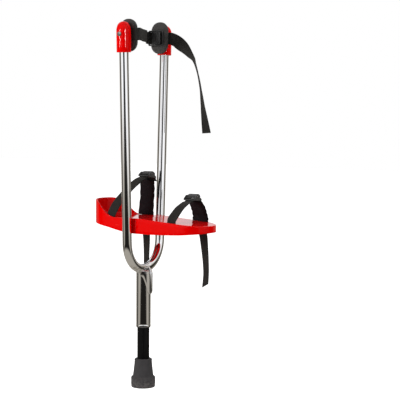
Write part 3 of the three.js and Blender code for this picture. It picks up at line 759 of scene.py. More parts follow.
def bent_frame():
    """The chromed tube, bored through and drilled for the bolts and the caps' screws."""
    top = corners("u_frame_tube")[1].z
    bore = bent_bar(top + 5, TUBE_R - TUBE_WALL)
    holes = [moved(cap_screw_hole(-20, 20), arm_matrix(side)) for side in (-1, 1)]
    holes.append(rod(BOLT_R + GAP, -arm_x(BOLT_Z), arm_x(BOLT_Z), along_x(BOLT_Z)))
    tube = boolean(bent_bar(top, TUBE_R), [bore, *holes])
    add("frame_tube", tube, "frame", "chrome_tube", "u_frame_tube")


def under_tube(x, y):
    """Height of the bend's lower surface over a point, or None beside the tube."""
    if abs(y) >= TUBE_R:
        return None
    reach = BEND_R + math.sqrt(TUBE_R**2 - y**2)
    return BEND_CENTRE_Z - math.sqrt(reach**2 - x**2)


def coped(x, y, top):
    """The height of an edge that stops under the bend and is level beside it."""
    limit = under_tube(x, y)
    return top if limit is None else min(top, limit)


def sleeve():
    """The tube that the plunger slides in, with a rolled rim and a top coped to the bend."""
    low, high = corners("leg_sleeve")
    top = high.z
    rim = high.x
    segments = 96
    foot = rounded(
        [(SLEEVE_BORE, low.z), (rim, low.z, 0.9), (rim, low.z + 3.2, 0.8),
         (SLEEVE_R - 0.25, low.z + 4), (SLEEVE_R, low.z + 5.2), (SLEEVE_R, low.z + 8)],
        0.5, closed=False,
    )
    rings = []
    angles = [2 * math.pi * i / segments for i in range(segments)]

    def level(radius, height):
        return [(radius * math.cos(a), radius * math.sin(a), height(a)) for a in angles]

    def edge(angle):
        return coped(SLEEVE_R * math.cos(angle), SLEEVE_R * math.sin(angle), top)

    rings.extend(level(r, lambda _, z=z: z) for r, z in foot)
    for share in (0.3, 0.6, 0.9, 1):
        rings.append(level(SLEEVE_R, lambda a, s=share: low.z + 8 + (edge(a) - low.z - 8) * s))
    rings.append(level(SLEEVE_BORE, edge))
    rings.append(level(SLEEVE_BORE, lambda _: low.z))
    add("sleeve", mesh_of(*loft(rings, False, False)), "frame", "chrome_tube", "leg_sleeve")


def weld_bead():
    """The bead that closes the gap between the sleeve's top edge and the bend."""
    top = corners("leg_sleeve")[1].z
    segments = 144
    rings = []
    for i in range(segments + 1):
        angle = 2 * math.pi * i / segments
        x, y = SLEEVE_R * math.cos(angle), SLEEVE_R * math.sin(angle)
        outer = Vector((x, y, coped(x, y, top)))
        around = math.atan2(outer.x, BEND_CENTRE_Z - outer.z)
        centre = Vector((BEND_R * math.sin(around), 0, BEND_CENTRE_Z - BEND_R * math.cos(around)))
        inner = centre + (outer - centre).normalized() * (TUBE_R - 0.4)
        middle = (outer + inner) / 2
        away = (outer - centre).normalized()
        side = Vector((-y, x, 0)).normalized()
        outward = away.cross(side).normalized()
        if outward.z < 0:
            outward.negate()
        ripple = 0.22 * math.sin(angle * 34) + 0.35 * noise.noise(Vector((x, y, 7)) * 0.4)
        wide = (outer - inner).length / 2 + 1.1 + ripple * 0.5
        tall = 1.3 + ripple
        ring = []
        for k in range(12):
            turn = 2 * math.pi * k / 12
            ring.append(middle + away * wide * math.cos(turn) + outward * tall * math.sin(turn))
        rings.append(ring)
    add("sleeve_weld", mesh_of(*loft(rings, False, False)), "frame", "chrome_tube")


def gusset():
    """The saddle wrapped round the toe side of the sleeve, and the rib that stands on it."""
    low, high = corners("gusset_saddle")
    inner = SLEEVE_R + GAP
    outer = inner + SADDLE_THICK
    narrow, wide, corner = 4.9, 16.5, 1.6
    levels = 24
    arc_steps = 20
    rings = []
    for k in range(levels + 1):
        share = k / levels
        half_width = narrow + (wide - narrow) * share - corner * (1 - min(1, share * 8)) ** 2
        ring = []
        for radius, direction in ((outer, 1), (inner - 0.2, -1)):
            reach = math.asin(min(half_width / radius, 0.99))
            for i in range(arc_steps + 1):
                angle = direction * reach * (2 * i / arc_steps - 1)
                x, y = radius * math.sin(angle), -radius * math.cos(angle)
                z = low.z + (coped(x, y, high.z) - low.z) * share
                ring.append((x, y, z))
        rings.append(ring)
    saddle = mesh_of(*loft(rings))
    add("saddle", saddle, "frame", "chrome_tube", "gusset_saddle")
    rib_low, rib_high = corners("gusset_rib")
    reach = rib_low.y
    outline = rounded([
        (-outer + 0.3, rib_low.z), (reach + 1.5, rib_low.z, 1), (reach, rib_low.z + 4, 1.5),
        (reach, rib_high.z - 12, 4), (-13, rib_high.z, 2), (-7.8, rib_high.z, 0.5),
        (-8.8, 242.5, 0.2), (-outer + 0.3, 241, 0.4),
    ])
    outline.reverse()
    side = Matrix(((0, 0, 1, 0), (1, 0, 0, 0), (0, 1, 0, 0), (0, 0, 0, 1)))
    rib = moved(plate(outline, rib_low.x, rib_high.x, 0.8), side)
    add("rib", finished(rib), "frame", "chrome_tube", "gusset_rib")


# Sprung leg


def sprung_leg():
    """The bush, seat, spring, collar, plunger tube and washer, each a turned shape or a coil."""
    low, high = corners("guide_bush")
    lip, sleeve_bottom = high.x, corners("leg_sleeve")[0].z
    bore = corners("plunger_tube")[1].x + GAP
    bush = turned([
        (bore, low.z), (lip, low.z, 0.8), (lip, sleeve_bottom - GAP),
        (SLEEVE_BORE - GAP, sleeve_bottom - GAP), (SLEEVE_BORE - GAP, high.z), (bore, high.z),
    ])
    add("bush", bush, "frame", "black_plastic", "guide_bush")
    seat_low, seat_high = corners("spring_seat")
    spring_low, spring_high = corners("compression_spring")
    nose = 8.8
    seat = turned_solid([
        (0, seat_low.z), (nose - 1, seat_low.z), (nose, seat_low.z + 1), (nose, spring_high.z + GAP),
        (seat_high.x, spring_high.z + GAP), (seat_high.x, seat_high.z), (0, seat_high.z),
    ])
    add("seat", seat, "frame", "spring_steel", "spring_seat")
    coil_spring(spring_low.z, spring_high.z)
    collar_low, collar_high = corners("plunger_collar")
    plunger_low, plunger_high = corners("plunger_tube")
    plug = 10.2
    collar = turned_solid([
        (0, collar_low.z), (plug, collar_low.z), (plug, plunger_high.z + GAP),
        (collar_high.x, plunger_high.z + GAP), (collar_high.x, spring_low.z - GAP),
        (nose, spring_low.z - GAP), (nose, collar_high.z - 1), (nose - 1, collar_high.z),
        (0, collar_high.z),
    ])
    add("collar", collar, "plunger", "spring_steel", "plunger_collar")
    tube = turned([
        (PLUNGER_BORE, plunger_low.z), (plunger_high.x, plunger_low.z),
        (plunger_high.x, plunger_high.z), (PLUNGER_BORE, plunger_high.z),
    ])
    add("plunger", tube, "plunger", "black_enamel", "plunger_tube")
    washer_low, washer_high = corners("ferrule_washer")
    washer = turned_solid([
        (0, washer_low.z), (washer_high.x, washer_low.z), (washer_high.x, washer_high.z),
        (0, washer_high.z),
    ])
    add("foot_washer", washer, "plunger", "zinc_steel", "ferrule_washer")


def coil_spring(bottom, top):
    """The spring, wound a little closer at its ends."""
    wire, coil, turns, steps = 1.6, 10.8, 6.5, 220
    points = []
    acrosses = []
    for k in range(steps + 1):
        share = k / steps
        angle = share * turns * 2 * math.pi
        ends = share - 0.045 * math.sin(2 * math.pi * share)
        z = bottom + wire + (top - bottom - 2 * wire) * ends
        radial = Vector((math.cos(angle), math.sin(angle), 0))
        points.append(radial * coil + Vector((0, 0, z)))
        acrosses.append(radial)
    coils = sweep(points, acrosses, lambda _: circle(12, wire))
    spring = add("spring", coils, "frame", "spring_steel", "compression_spring")
    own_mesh(spring)


def rubber_foot():
    """The ferrule, with a flared foot, a beaded mouth and ring grooves under it."""
    high = corners("ferrule")[1]
    wide = high.x
    bore = corners("plunger_tube")[1].x + GAP
    grooves = []
    for r in (6, 11, 16):
        grooves += [(r, 0, 0.2), (r + 0.5, 1.2, 0.3), (r + 1.6, 1.2, 0.3), (r + 2.1, 0, 0.2)]
    outside = [
        (0, 0), *grooves, (wide - 1.4, 0, 1), (wide - 0.5, 1.6, 0.8), (wide, 8, 1), (wide, 19.6, 0.4),
        (wide - 0.8, 21.6, 1.2), (22.0, 22.4, 0.8), (21.2, 24, 1), (19.2, 40, 3),
        (17.9, high.z - 4.6, 0.5), (18.2, high.z - 4, 0.4), (18.1, high.z - 1.2, 1),
        (16.8, high.z, 0.6), (bore, high.z, 0.4), (bore, 11), (0, 11),
    ]
    foot = turned_solid(outside, 0.4, 96)
    add("rubber_foot", foot, "plunger", "grey_rubber", "ferrule")


# Footplate


def deck_z(y):
    """Height of the deck's top: level from the heel to its break, then falling to the toe."""
    slope = (DECK_Z - TOE_DECK_Z) / (DECK_BREAK_Y - (TOE_ARC_Y - PLATE_HALF_WIDTH))
    return DECK_Z - max(DECK_BREAK_Y - y, 0) * slope


def plan_outline(inset, steps=48):
    """The plate's outline seen from above: round ends joined by straight sides."""
    radius = PLATE_HALF_WIDTH - inset
    length = HEEL_ARC_Y - TOE_ARC_Y
    points = []
    for side, end in ((1, HEEL_ARC_Y), (-1, TOE_ARC_Y)):
        for k in range(steps):
            angle = math.pi * k / steps
            points.append((side * radius * math.cos(angle), end + side * radius * math.sin(angle)))
        points.extend((-side * radius, end - side * length * k / steps) for k in range(steps))
    return points


def height_line(points):
    """A smooth height over Y through the given (y, z) points."""
    line = catmull([(y, z, 0) for y, z in points], 16)

    def height(y):
        if y <= line[0].x:
            return line[0].y
        for before, after in zip(line, line[1:]):
            if y <= after.x:
                share = (y - before.x) / (after.x - before.x)
                return before.y + (after.y - before.y) * share
        return line[-1].y

    return height


def plate_body():
    """The deck with its skirt and heel cup, as rings from the underside out, up and back in."""
    skirt = height_line([
        (-167, 327.5), (-110, 323), (-50, 321), (0, 321.5), (30, 325.5), (61, 332), (112, 339),
    ])
    cup = height_line([
        (CUP_START_Y, DECK_Z), (54, 356), (68, 366), (84, 379), (98, 385.5), (112, 386.5),
    ])
    rim = plan_outline(0)
    wall = PLATE_WALL
    edge = 1.7

    def ring(inset, height):
        points = zip(plan_outline(inset), rim)
        return [(x, y, height(y, outer[1])) for (x, y), outer in points]

    def under(y, _):
        return deck_z(y) - DECK_THICK

    def bottom(above):
        return lambda _, outer: skirt(outer) + above

    def top(outer):
        return max(cup(outer), deck_z(outer)) if outer > CUP_START_Y else deck_z(outer)

    def side(share):
        def height(_, outer):
            low, high = skirt(outer) + 1, top(outer) - edge
            return low + (high - low) * share

        return height

    def inside(share):
        return lambda y, outer: deck_z(y) + (top(outer) - deck_z(outer)) * share

    rings = [ring(inset, under) for inset in (PLATE_HALF_WIDTH, 38, 26, 16, 9, wall + 1.5)]
    rings.append(ring(wall + 0.4, lambda y, _: under(y, _) - 0.4))
    rings.append(ring(wall, lambda y, _: under(y, _) - 1.5))
    rings += [ring(wall, bottom(1)), ring(wall - 0.3, bottom(0.3)), ring(wall - 1, bottom(0))]
    rings += [ring(1, bottom(0)), ring(0.3, bottom(0.3))]
    rings += [ring(0, side(share)) for share in (0, 0.2, 0.4, 0.6, 0.8)]
    for k in range(7):
        turn = math.pi / 2 * k / 6
        inset = edge * (1 - math.cos(turn))
        drop = edge * (1 - math.sin(turn))
        rings.append(ring(inset, lambda _, outer, d=drop: top(outer) - d))
    inner_wall = (
        (wall - 1.4, 1), (wall - 0.8, 0.993), (wall - 0.25, 0.972), (wall, 0.94),
        (wall + 0.1, 0.7), (wall + 0.2, 0.4), (wall + 0.6, 0.18), (wall + 1.6, 0.07),
        (wall + 3.2, 0.015), (wall + 5.5, 0),
    )
    rings += [ring(inset, inside(share)) for inset, share in inner_wall]
    rings += [ring(inset, inside(0)) for inset in (13, 20, 30, 40, PLATE_HALF_WIDTH)]
    return mesh_of(*loft(rings, False, False))


def footplate():
    """The plate with its strap slots and the holes of the rivets, the bolts and the screws."""
    below, above = DECK_Z - 22, DECK_Z + 8
    half = FOOT_WEBBING / 2 + 1.5
    tools = []
    for plan in FOOT_STRAPS.values():
        for x, y in ((-SLOT_X, plan["near"]), (SLOT_X, plan["far"])):
            tools.append(block(
                x - SLOT_HALF_WIDTH, x + SLOT_HALF_WIDTH, y - half, y + half, below, above, 0.9))
        near = plan["near"]
        tools.append(hole(RIVET_R, below, deck_z(near) - 1.2, RIVET_X, near))
    tools.append(rod(BOLT_R + GAP, -60, 60, along_x(BOLT_Z)))
    tools += [hole(DECK_SCREW_R, below, DECK_Z - 1, side * DECK_SCREW_X, 0) for side in (-1, 1)]
    add("deck", boolean(plate_body(), tools), "frame", "red_plastic", "footplate")


def plate_bracket():
    """The bent steel channel under the deck, its bolts into the arms and its screws."""
    low, high = corners("plate_bracket")
    thick = 3.0
    reach = high.x
    outer, inner = 3.5, 1.5
    channel = rounded([
        (-reach, low.z, 0.4), (-reach + thick, low.z, 0.4), (-reach + thick, high.z - thick, inner),
        (reach - thick, high.z - thick, inner), (reach - thick, low.z, 0.4), (reach, low.z, 0.4),
        (reach, high.z, outer), (-reach, high.z, outer),
    ])
    bolt_low, bolt_high = corners("frame_bolt_right")
    screw_low, screw_high = corners("plate_screw_right")
    tools = [rod(BOLT_R + GAP, -60, 60, along_x(BOLT_Z))]
    tools += [hole(DECK_SCREW_R, low.z, high.z + 2, side * DECK_SCREW_X, 0) for side in (-1, 1)]
    add("bracket", boolean(across_y(channel, high.y), tools), "frame", "zinc_steel", "plate_bracket")
    for name, side in (("left", -1), ("right", 1)):
        facing = Matrix.Rotation(0 if side > 0 else math.pi, 4, "Z")
        head = plate(hexagon(5.5), bolt_low.x, bolt_low.x + 4, 0.5)
        shank = rod(BOLT_R, bolt_low.x + 2, bolt_high.x, Matrix.Identity(4), 0.6)
        bolt = moved(boolean(head, [shank], "UNION"), facing @ along_x(BOLT_Z))
        add(f"bolt_{name}", bolt, "frame", "zinc_steel", f"frame_bolt_{name}")
        top = screw_low.z + 2.1
        screw = turned_solid([
            (0, screw_low.z), (3, screw_low.z, 0.5), (4, screw_low.z + 0.9, 0.3), (4, top, 0.1),
            (DECK_SCREW_R, top, 0.1), (DECK_SCREW_R, screw_high.z - 0.6),
            (DECK_SCREW_R - 0.6, screw_high.z), (0, screw_high.z),
        ], 0.2, 32)
        cross = cross_recess(2.2, 0.45, screw_low.z - 1, screw_low.z + 1)
        screw = moved(boolean(screw, [cross]), Matrix.Translation((side * DECK_SCREW_X, 0, 0)))
        add(f"deck_screw_{name}", screw, "frame", "zinc_steel", f"plate_screw_{name}")


# Caps and calf pads


def arm_matrix(side):
    """From an arm's own axes, at the cap's bottom with +X away from the leg, to the frame."""
    lean = Matrix.Translation((arm_x(CAP_BOTTOM), 0, CAP_BOTTOM)) @ Matrix.Rotation(SPLAY, 4, "Y")
    return Matrix.Rotation(math.pi if side < 0 else 0, 4, "Z") @ lean


def cap_mesh():
    """A bullet-shaped cap with a flat inner side, over the end of the tube."""
    segments = 96
    sharpness = 14  # of the corners between the round side and the flat one

    def section(radius, z):
        ring = []
        for a, b in circle(segments, 1):
            reach = radius
            if a < -0.05:
                flat = -CAP_FLAT / a
                reach = (radius**-sharpness + flat**-sharpness) ** (-1 / sharpness)
            ring.append((reach * a, reach * b, z))
        return ring

    shoulder = 42
    profile = [(CAP_R - 1, 0), (CAP_R - 0.3, 0.3), (CAP_R, 1.2)]
    profile += [(CAP_R, z) for z in (14, 28, shoulder)]
    for k in range(1, 17):
        turn = math.pi / 2 * k / 16
        rise = (CAP_HEIGHT - shoulder) * math.sin(turn)
        profile.append((CAP_R * math.cos(turn) ** 0.82, shoulder + rise))
    rings = [section(radius, z) for radius, z in profile[:-1]]
    rings.append([(0, 0, profile[-1][1])] * segments)
    bore = TUBE_R + GAP
    socket_top = 56
    socket = [(0, socket_top), (bore, socket_top), (bore, 1), (bore, 0.3), (bore + 0.5, 0)]
    inside = [[(x, y, z) for x, y in circle(segments, radius)] for radius, z in socket]
    return mesh_of(*loft([*inside, *rings], False, False))


def pad_mesh():
    """A capsule of foam: square at the back, softly rounded and crowned in front."""
    back, front = -PAD_BACK, -PAD_BACK - PAD_THICK
    profile = [
        (14.5, back), (6, back), (1.2, back), (0.4, back - 0.3), (0, back - 1.2), (0, back - 3.2),
        (0.35, front + 1.5), (1.0, front + 0.75), (2.0, front + 0.32), (4, front + 0.12), (7, front),
        (11, front), (14.5, front),
    ]
    rings = []
    for inset, x in profile:
        radius = max(PAD_HALF_WIDTH - 1 - inset, 1.5)
        outline = rounded_box(PAD_HALF_WIDTH - inset, PAD_HALF_HEIGHT - inset, radius, 16)
        rings.append([(x, -p.x, PAD_Z + p.y) for p in outline])
    return mesh_of(*loft(rings), sharp_angle=60)


def screw_mesh():
    """A pan-head screw along X with a cross in its head."""
    start, head = -PAD_BACK - 3, CAP_R + GAP
    shank = SCREW_R
    profile = [
        (0, start), (shank - 0.4, start), (shank, start + 0.6), (shank, head), (4.6, head, 0.2),
        (4.6, head + 0.7, 0.5), (3.6, head + 2.1, 1), (1.5, head + 2.7, 1), (0, head + 2.75),
    ]
    body = turned_solid(profile, 0.2, 48)
    screw = boolean(body, [cross_recess(2.6, 0.5, head + 1.1, head + 4)])
    return moved(screw, along_x(CAP_SCREW_Z))


def backing_mesh(slotted):
    """The stiff plate behind a calf pad."""
    outline = rounded_box(PAD_HALF_WIDTH - 3, PAD_HALF_HEIGHT - 4, PAD_HALF_WIDTH - 4)
    face = -CAP_FLAT - STRAP_ROOM
    sheet = plate(outline, face - BACKING_THICK, face, 0.5)
    upright = Matrix(((0, 0, 1, 0), (-1, 0, 0, 0), (0, 1, 0, PAD_Z), (0, 0, 0, 1)))
    tools = [cap_screw_hole(-40, 0)]
    if slotted:
        y0, y1 = CALF_SLOT_Y
        half = CALF_WEBBING / 2 + 2
        tools.append(block(-40, 0, y0 - 6, y1, PAD_Z - half, PAD_Z + half, 0.5))
    return boolean(moved(sheet, upright), tools)


def nut_mesh():
    """The nut in a calf pad's back, with the hole of its screw."""
    low = -PAD_BACK - 3.3
    nut = moved(plate(hexagon(4.8), low, low + 3, 0.4), along_x(CAP_SCREW_Z))
    return boolean(nut, [cap_screw_hole(-40, 0)])


def calf_side(name, side):
    """One arm's cap, screw, pad, backing plate and nut. The right pad is slotted for the strap."""
    arm = arm_matrix(side)
    cap = boolean(cap_mesh(), [cap_screw_hole(-20, 20)])
    add(f"cap_{name}", moved(cap, arm), "frame", "red_plastic", f"arm_cap_{name}")
    tools = [rod(NUT_POCKET_R, -PAD_BACK - 3.8, 0, along_x(CAP_SCREW_Z))]
    if side > 0:
        half = CALF_WEBBING / 2 + 2
        tools.append(block(-40, -10, *CALF_SLOT_Y, PAD_Z - half, PAD_Z + half, 0.8))
    pad = boolean(pad_mesh(), tools, sharp_angle=60)
    pad = add(f"pad_{name}", moved(pad, arm), "frame", "pad_foam", f"calf_pad_{name}")
    add(f"screw_{name}", moved(screw_mesh(), arm), "frame", "zinc_steel", f"cap_screw_{name}")
    backing = moved(backing_mesh(side > 0), arm)
    add(f"backing_{name}", backing, "frame", "black_plastic", f"pad_backing_{name}")
    add(f"nut_{name}", moved(nut_mesh(), arm), "frame", "zinc_steel", f"cap_nut_{name}")


# Straps


def buckle_matrix(at, along, out):
    """From a buckle's own axes, x along the strap and z away from the leg, to the frame."""
    u = Vector(along).normalized()
    n = Vector(out)
    n = (n - u * n.dot(u)).normalized()
    w = n.cross(u)
    rows = [(u[i], w[i], n[i], at[i]) for i in range(3)]
    return Matrix((*rows, (0, 0, 0, 1)))


def buckle_frame(size):
    """A base with two windows, a cheek at each side and the bars that keep the strap down."""
    half, pin = size["length"] / 2, size["pin"]
    inside = size["webbing"] / 2 + 0.8
    outline = rounded_box(half, inside + BUCKLE_CHEEK, 3)
    base = plate(outline, -BUCKLE_FLOOR, 0, 0.6)
    end = half - 1.6
    keeper_top = 4.4 if size["keepers"][0] < pin - 10 else 1.8
    cheek = rounded([
        (-end, -1, 0.8), (end, -1, 0.8), (end, 1.8, 1.2), (pin + 6, 6.4, 3), (pin + 2.6, 8.9, 1.6),
        (pin - 2.6, 8.9, 1.6), (pin - 6, 6.4, 3), (-end, keeper_top, 1.2),
    ])
    parts = []
    for side in (-1, 1):
        place = Matrix.Translation((0, side * (inside + BUCKLE_CHEEK / 2), 0))
        parts.append(moved(across_y(cheek, BUCKLE_CHEEK / 2 - CHEEK_STEP, 0.5), place))
    for x in size["keepers"]:
        parts.append(block(x - 1.1, x + 1.1, -inside - 1, inside + 1, 2.7, 4.2, 0.45))
    body = boolean(base, parts, "UNION")
    windows = ((-half + BUCKLE_BAR, pin - 5), (pin + 5, half - BUCKLE_BAR))
    reach = inside - 0.2
    tools = [block(x0, x1, -reach, reach, -BUCKLE_FLOOR - 1, 0.4, 0.3) for x0, x1 in windows]
    across_pin = Matrix.Translation((pin, 0, PIN_Z)) @ ABOUT_Y
    tools.append(rod(PIN_R + GAP, -30, 30, across_pin))
    return boolean(body, tools)


def buckle_lever(size):
    """A cam that pinches the strap, with a domed handle that is ridged for the thumb."""
    reach = size["lever"]
    half_width = size["webbing"] / 2 + 0.3
    profile = []
    cam_start, cam_turn, cam_steps = 105, 185, 14
    for k in range(cam_steps + 1):
        angle = math.radians(cam_start + cam_turn * k / cam_steps)
        profile.append(Vector((CAM_R * math.cos(angle), CAM_R * math.sin(angle))))
    lip = [(4.5, -0.9, 1.2), (reach - 2, -0.6, 1), (reach + 0.9, -1.1, 0.6), (reach + 1, 0.6, 0.8)]
    ridges = 6
    pitch = (reach - 1.2) / ridges
    top = []
    for k in range(ridges):
        x = reach - pitch * k
        crown = 1.7 + 2.9 * math.sin(math.pi * min(1, (x - 0.2) / reach)) ** 0.7
        top += [(x, crown, 0.25), (x - 0.2 * pitch, crown + 0.75, 0.3)]
        top += [(x - 0.6 * pitch, crown + 0.8, 0.3), (x - 0.8 * pitch, crown + 0.1, 0.25)]
    profile += rounded([(1.15, -3.1), *lip, *top, (-0.8, CAM_R - 0.15)], 0.2, 3, closed=False)[1:-1]
    handle = across_y(profile, half_width, 0.45)
    return boolean(handle, [rod(PIN_R + 0.2, -30, 30, ABOUT_Y)])


def buckle_pin(size):
    """The pin that the lever turns on, through both cheeks."""
    half = size["webbing"] / 2 + 0.8 + BUCKLE_CHEEK
    profile = [(0, -half), (PIN_R - 0.2, -half), (PIN_R, -half + 0.4), (PIN_R, half - 0.4)]
    return moved(turned_solid([*profile, (PIN_R - 0.2, half), (0, half)], 0.15, 24), ABOUT_Y)


def buckle(name, size, place):
    """A buckle's frame, its lever on a body of its own and its pin."""
    at_pin = place @ Matrix.Translation((size["pin"], 0, PIN_Z))
    parts = (
        ("frame", buckle_frame(size), place, "frame", "buckle_plastic"),
        ("lever", buckle_lever(size), at_pin, f"{name}_lever", "buckle_plastic"),
        ("pin", buckle_pin(size), at_pin, "frame", "zinc_steel"),
    )
    for part, mesh, matrix, body, slot in parts:
        add(f"{name}_{part}", moved(mesh, matrix), body, slot, f"{name}_buckle_{part}")


def strap_section(width, thickness):
    """A flat section with round edges that are a little thinner than its middle."""
    edge_r = 0.7
    half, thick = width / 2 - edge_r, thickness / 2
    points = []
    steps, edge_steps = 10, 6
    for side in (1, -1):
        points.extend((side * half * (1 - 2 * k / steps), side * thick) for k in range(steps + 1))
        for k in range(1, edge_steps):
            turn = math.pi * k / edge_steps
            reach = half + edge_r * math.sin(turn)
            points.append((-side * reach, side * thick * math.cos(turn) * EDGE_THINNING))
    return points


def strap(stations, acrosses, width, steps=8, slant=0):
    """Webbing through stations, each with the direction of its width, its end cut at a slant."""
    points = catmull(stations, steps)
    widths = []
    for k in range(len(points)):
        span = min(k // steps, len(stations) - 2)
        share = k / steps - span
        widths.append(Vector(acrosses[span]).lerp(Vector(acrosses[span + 1]), share))
    section = strap_section(width, STRAP_THICK)
    return sweep(points, widths, lambda _: section, uv=True, sharp_angle=50, slant=slant)


def foot_strap(name, plan):
    """Webbing from its rivet up to the buckle, the buckle, the pad's loop and the free end."""
    near, far = plan["near"], plan["far"]
    place = buckle_matrix(plan["at"], plan["along"], UP)
    buckle(name, FOOT_BUCKLE, place)
    deck = deck_z(near)
    fold = deck - 7.6
    anchor = [
        (-25, near, fold), (-36, near, fold), (-41, near, fold + 0.4),
        (-SLOT_X + 0.1, near, deck - 4.5), (-SLOT_X - 0.1, near, deck + 1),
    ]
    through = [place @ Vector((x, 0, z)) for x, z in (
        (-13.5, -4.4), (-9.6, -0.6), (-5.4, 1.5), (0, 1.3), (9, 1.2))]
    stations = [*anchor, *plan["rise"], *through]
    webbing_mesh = strap(stations, [ACROSS_FOOT] * len(stations), FOOT_WEBBING)
    rivet_hole = hole(RIVET_R, deck - 20, deck, RIVET_X, near)
    webbing_mesh = boolean(webbing_mesh, [rivet_hole], sharp_angle=50)
    add(f"{name}_near_webbing", webbing_mesh, "frame", "webbing", f"{name}_strap_near")
    hang = [(SLOT_X, far, deck_z(far) + 1), *(at[:3] for at in plan["tail"])]
    turns = [0, *(math.radians(at[3]) for at in plan["tail"])]
    acrosses = [(math.sin(turn), math.cos(turn), 0) for turn in turns]
    tail = strap(hang, acrosses, FOOT_WEBBING, 12, plan["cut"])
    add(f"{name}_free_end", tail, "frame", "webbing", f"{name}_strap_tail")
    loop = [place @ Vector((x, 0, z)) for x, z in (
        (23, -6), (18.5, -3.6), (16.9, -1), (15.2, 1), (12.6, 1), (11.3, -1), (12, -3), (15, -4.8))]
    around = strap(loop, [ACROSS_FOOT] * len(loop), FOOT_WEBBING, 5)
    add(f"{name}_bar_loop", around, "frame", "webbing")
    low, high = corners(f"{name}_strap_rivet")
    head = low.z + 1.6
    rivet = turned_solid([
        (0, low.z), (2.6, low.z + 0.1, 0.5), (4.4, head - 0.4, 0.4), (4.4, head, 0.1),
        (RIVET_R, head, 0.1), (RIVET_R, high.z), (0, high.z),
    ], 0.2, 40)
    rivet = moved(rivet, Matrix.Translation((RIVET_X, near, 0)))
    add(f"{name}_rivet", rivet, "frame", "zinc_steel", f"{name}_strap_rivet")


def instep_pad(name, plan):
    """A padded sleeve over the far side of a foot strap, flared where it meets the deck."""
    first, *rest = plan["pad"]
    tucked = (first[0] - 1, first[1] - 1.5, first[2] + 2)
    end_half = 19
    far = plan["far"]
    drop = deck_z(far + end_half) - deck_z(far - end_half)
    foot = (rest[-1][0], rest[-1][1], deck_z(far - end_half) + GAP)
    steps = 12
    points = catmull([tucked, *rest[:-1], foot], steps)
    count = len(points)

    def section(share):
        half = 14.5 + 2.5 * min(1, share * 3) + 2 * max(0, share - 0.55) / 0.45
        half += 0.35 * math.sin(share * 31) + 0.5 * noise.noise(Vector((share * 9, first[2], 3)))
        thick = INSTEP_PAD_THICK / 2 * (0.4 + 0.6 * min(1, share * 7))
        thick *= 1 - 0.4 * max(0, share - 0.96) / 0.04
        ring = []
        for k in range(64):
            turn = 2 * math.pi * k / 64
            a = math.copysign(abs(math.cos(turn)) ** 0.5, math.cos(turn)) * half
            b = math.copysign(abs(math.sin(turn)) ** 0.6, math.sin(turn))
            seam = math.exp(-(((half - 3.4 - abs(a)) / 0.7) ** 2))
            ring.append((a, b * thick * (1 - 0.4 * seam)))
        return ring

    mesh = sweep(points, [ACROSS_FOOT] * count, section, uv=True, sharp_angle=70, slant=-drop)
    pad = add(f"{name}_padding", mesh, "frame", "padded_fabric", f"{name}_instep_pad")


CALF_Z = CAP_BOTTOM + PAD_Z
CALF_PAD_FACE = arm_x(CALF_Z) - PAD_BACK - PAD_THICK
CALF_BUCKLE_AT = (CALF_PAD_FACE - 2.8, 5, CALF_Z)


def calf_webbing():
    """The strap from behind the left pad, through the buckle and the right pad, to its free end."""
    layer = arm_x(CALF_Z) - CAP_FLAT - 1.1
    slide = CALF_PAD_FACE - 4.0
    slot = (CALF_SLOT_Y[0] + CALF_SLOT_Y[1]) / 2
    z = CALF_Z
    arm_up = (math.sin(SPLAY), 0, math.cos(SPLAY))
    arm_up_left = (-math.sin(SPLAY), 0, math.cos(SPLAY))
    far = layer - 4
    route = [
        ((-layer, 12, z + 2), arm_up_left), ((-layer, -1, z + 2), arm_up_left),
        ((-layer, -9, z + 2), arm_up_left), ((-layer + 0.1, -18.5, z + 2), arm_up_left),
        ((-layer + 3.5, -23, z + 2.5), UP), ((-layer + 12, -22.5, z + 3), UP),
        ((-20, -9, z + 2.5), UP), ((8, 4.5, z + 3), UP), ((slide - 14, 17, z + 3.2), UP),
        ((slide - 5, 23, z + 2.6), UP), ((slide - 2.2, 24.7, z + 1.8), UP),
        ((slide - 0.2, 23.4, z + 1.1), UP), ((slide, 20.6, z + 0.5), UP), ((slide, 8, z), UP),
        ((slide, -2, z), UP), ((slide + 4.5, slot + 0.2, z), UP),
        (((slide + layer) / 2, slot, z), arm_up), ((layer - 2.2, slot - 1.6, z), arm_up),
        ((layer, slot - 6.5, z), arm_up), ((layer, -24, z - 1), arm_up),
        ((layer - 2, -38, z - 6), (0.1, 0.05, 1)), ((layer - 3, -50, z - 14), (0.35, 0.2, 0.9)),
        ((far, -63, z - 25.5), (0.6, 0.3, 0.72)), ((far, -75, z - 38.5), (0.75, 0.38, 0.5)),
        ((far, -83, z - 49), (0.85, 0.45, 0.2)), ((far, -92, z - 73), (0.88, 0.47, 0)),
        ((far, -99.5, z - 106), (0.9, 0.43, 0)), ((far, -104.5, z - 138.5), (0.95, 0.25, 0)),
        ((far, -114, z - 193.5), (0.98, -0.2, 0)),
    ]
    mesh = strap([at for at, _ in route], [across for _, across in route], CALF_WEBBING)
    mesh = boolean(mesh, [moved(cap_screw_hole(-20, 20), arm_matrix(-1))], sharp_angle=50)
    add("calf_webbing", mesh, "frame", "webbing", "calf_strap")
    buckle("calf", CALF_BUCKLE, buckle_matrix(CALF_BUCKLE_AT, (0, -1, 0), (-1, 0, 0)))


# Floor, light and camera


def rays_seen(tree, name):
    """1 for rays of the named kind, else 0."""
    return Shade(tree, tree.nodes.new("ShaderNodeLightPath").outputs[name])


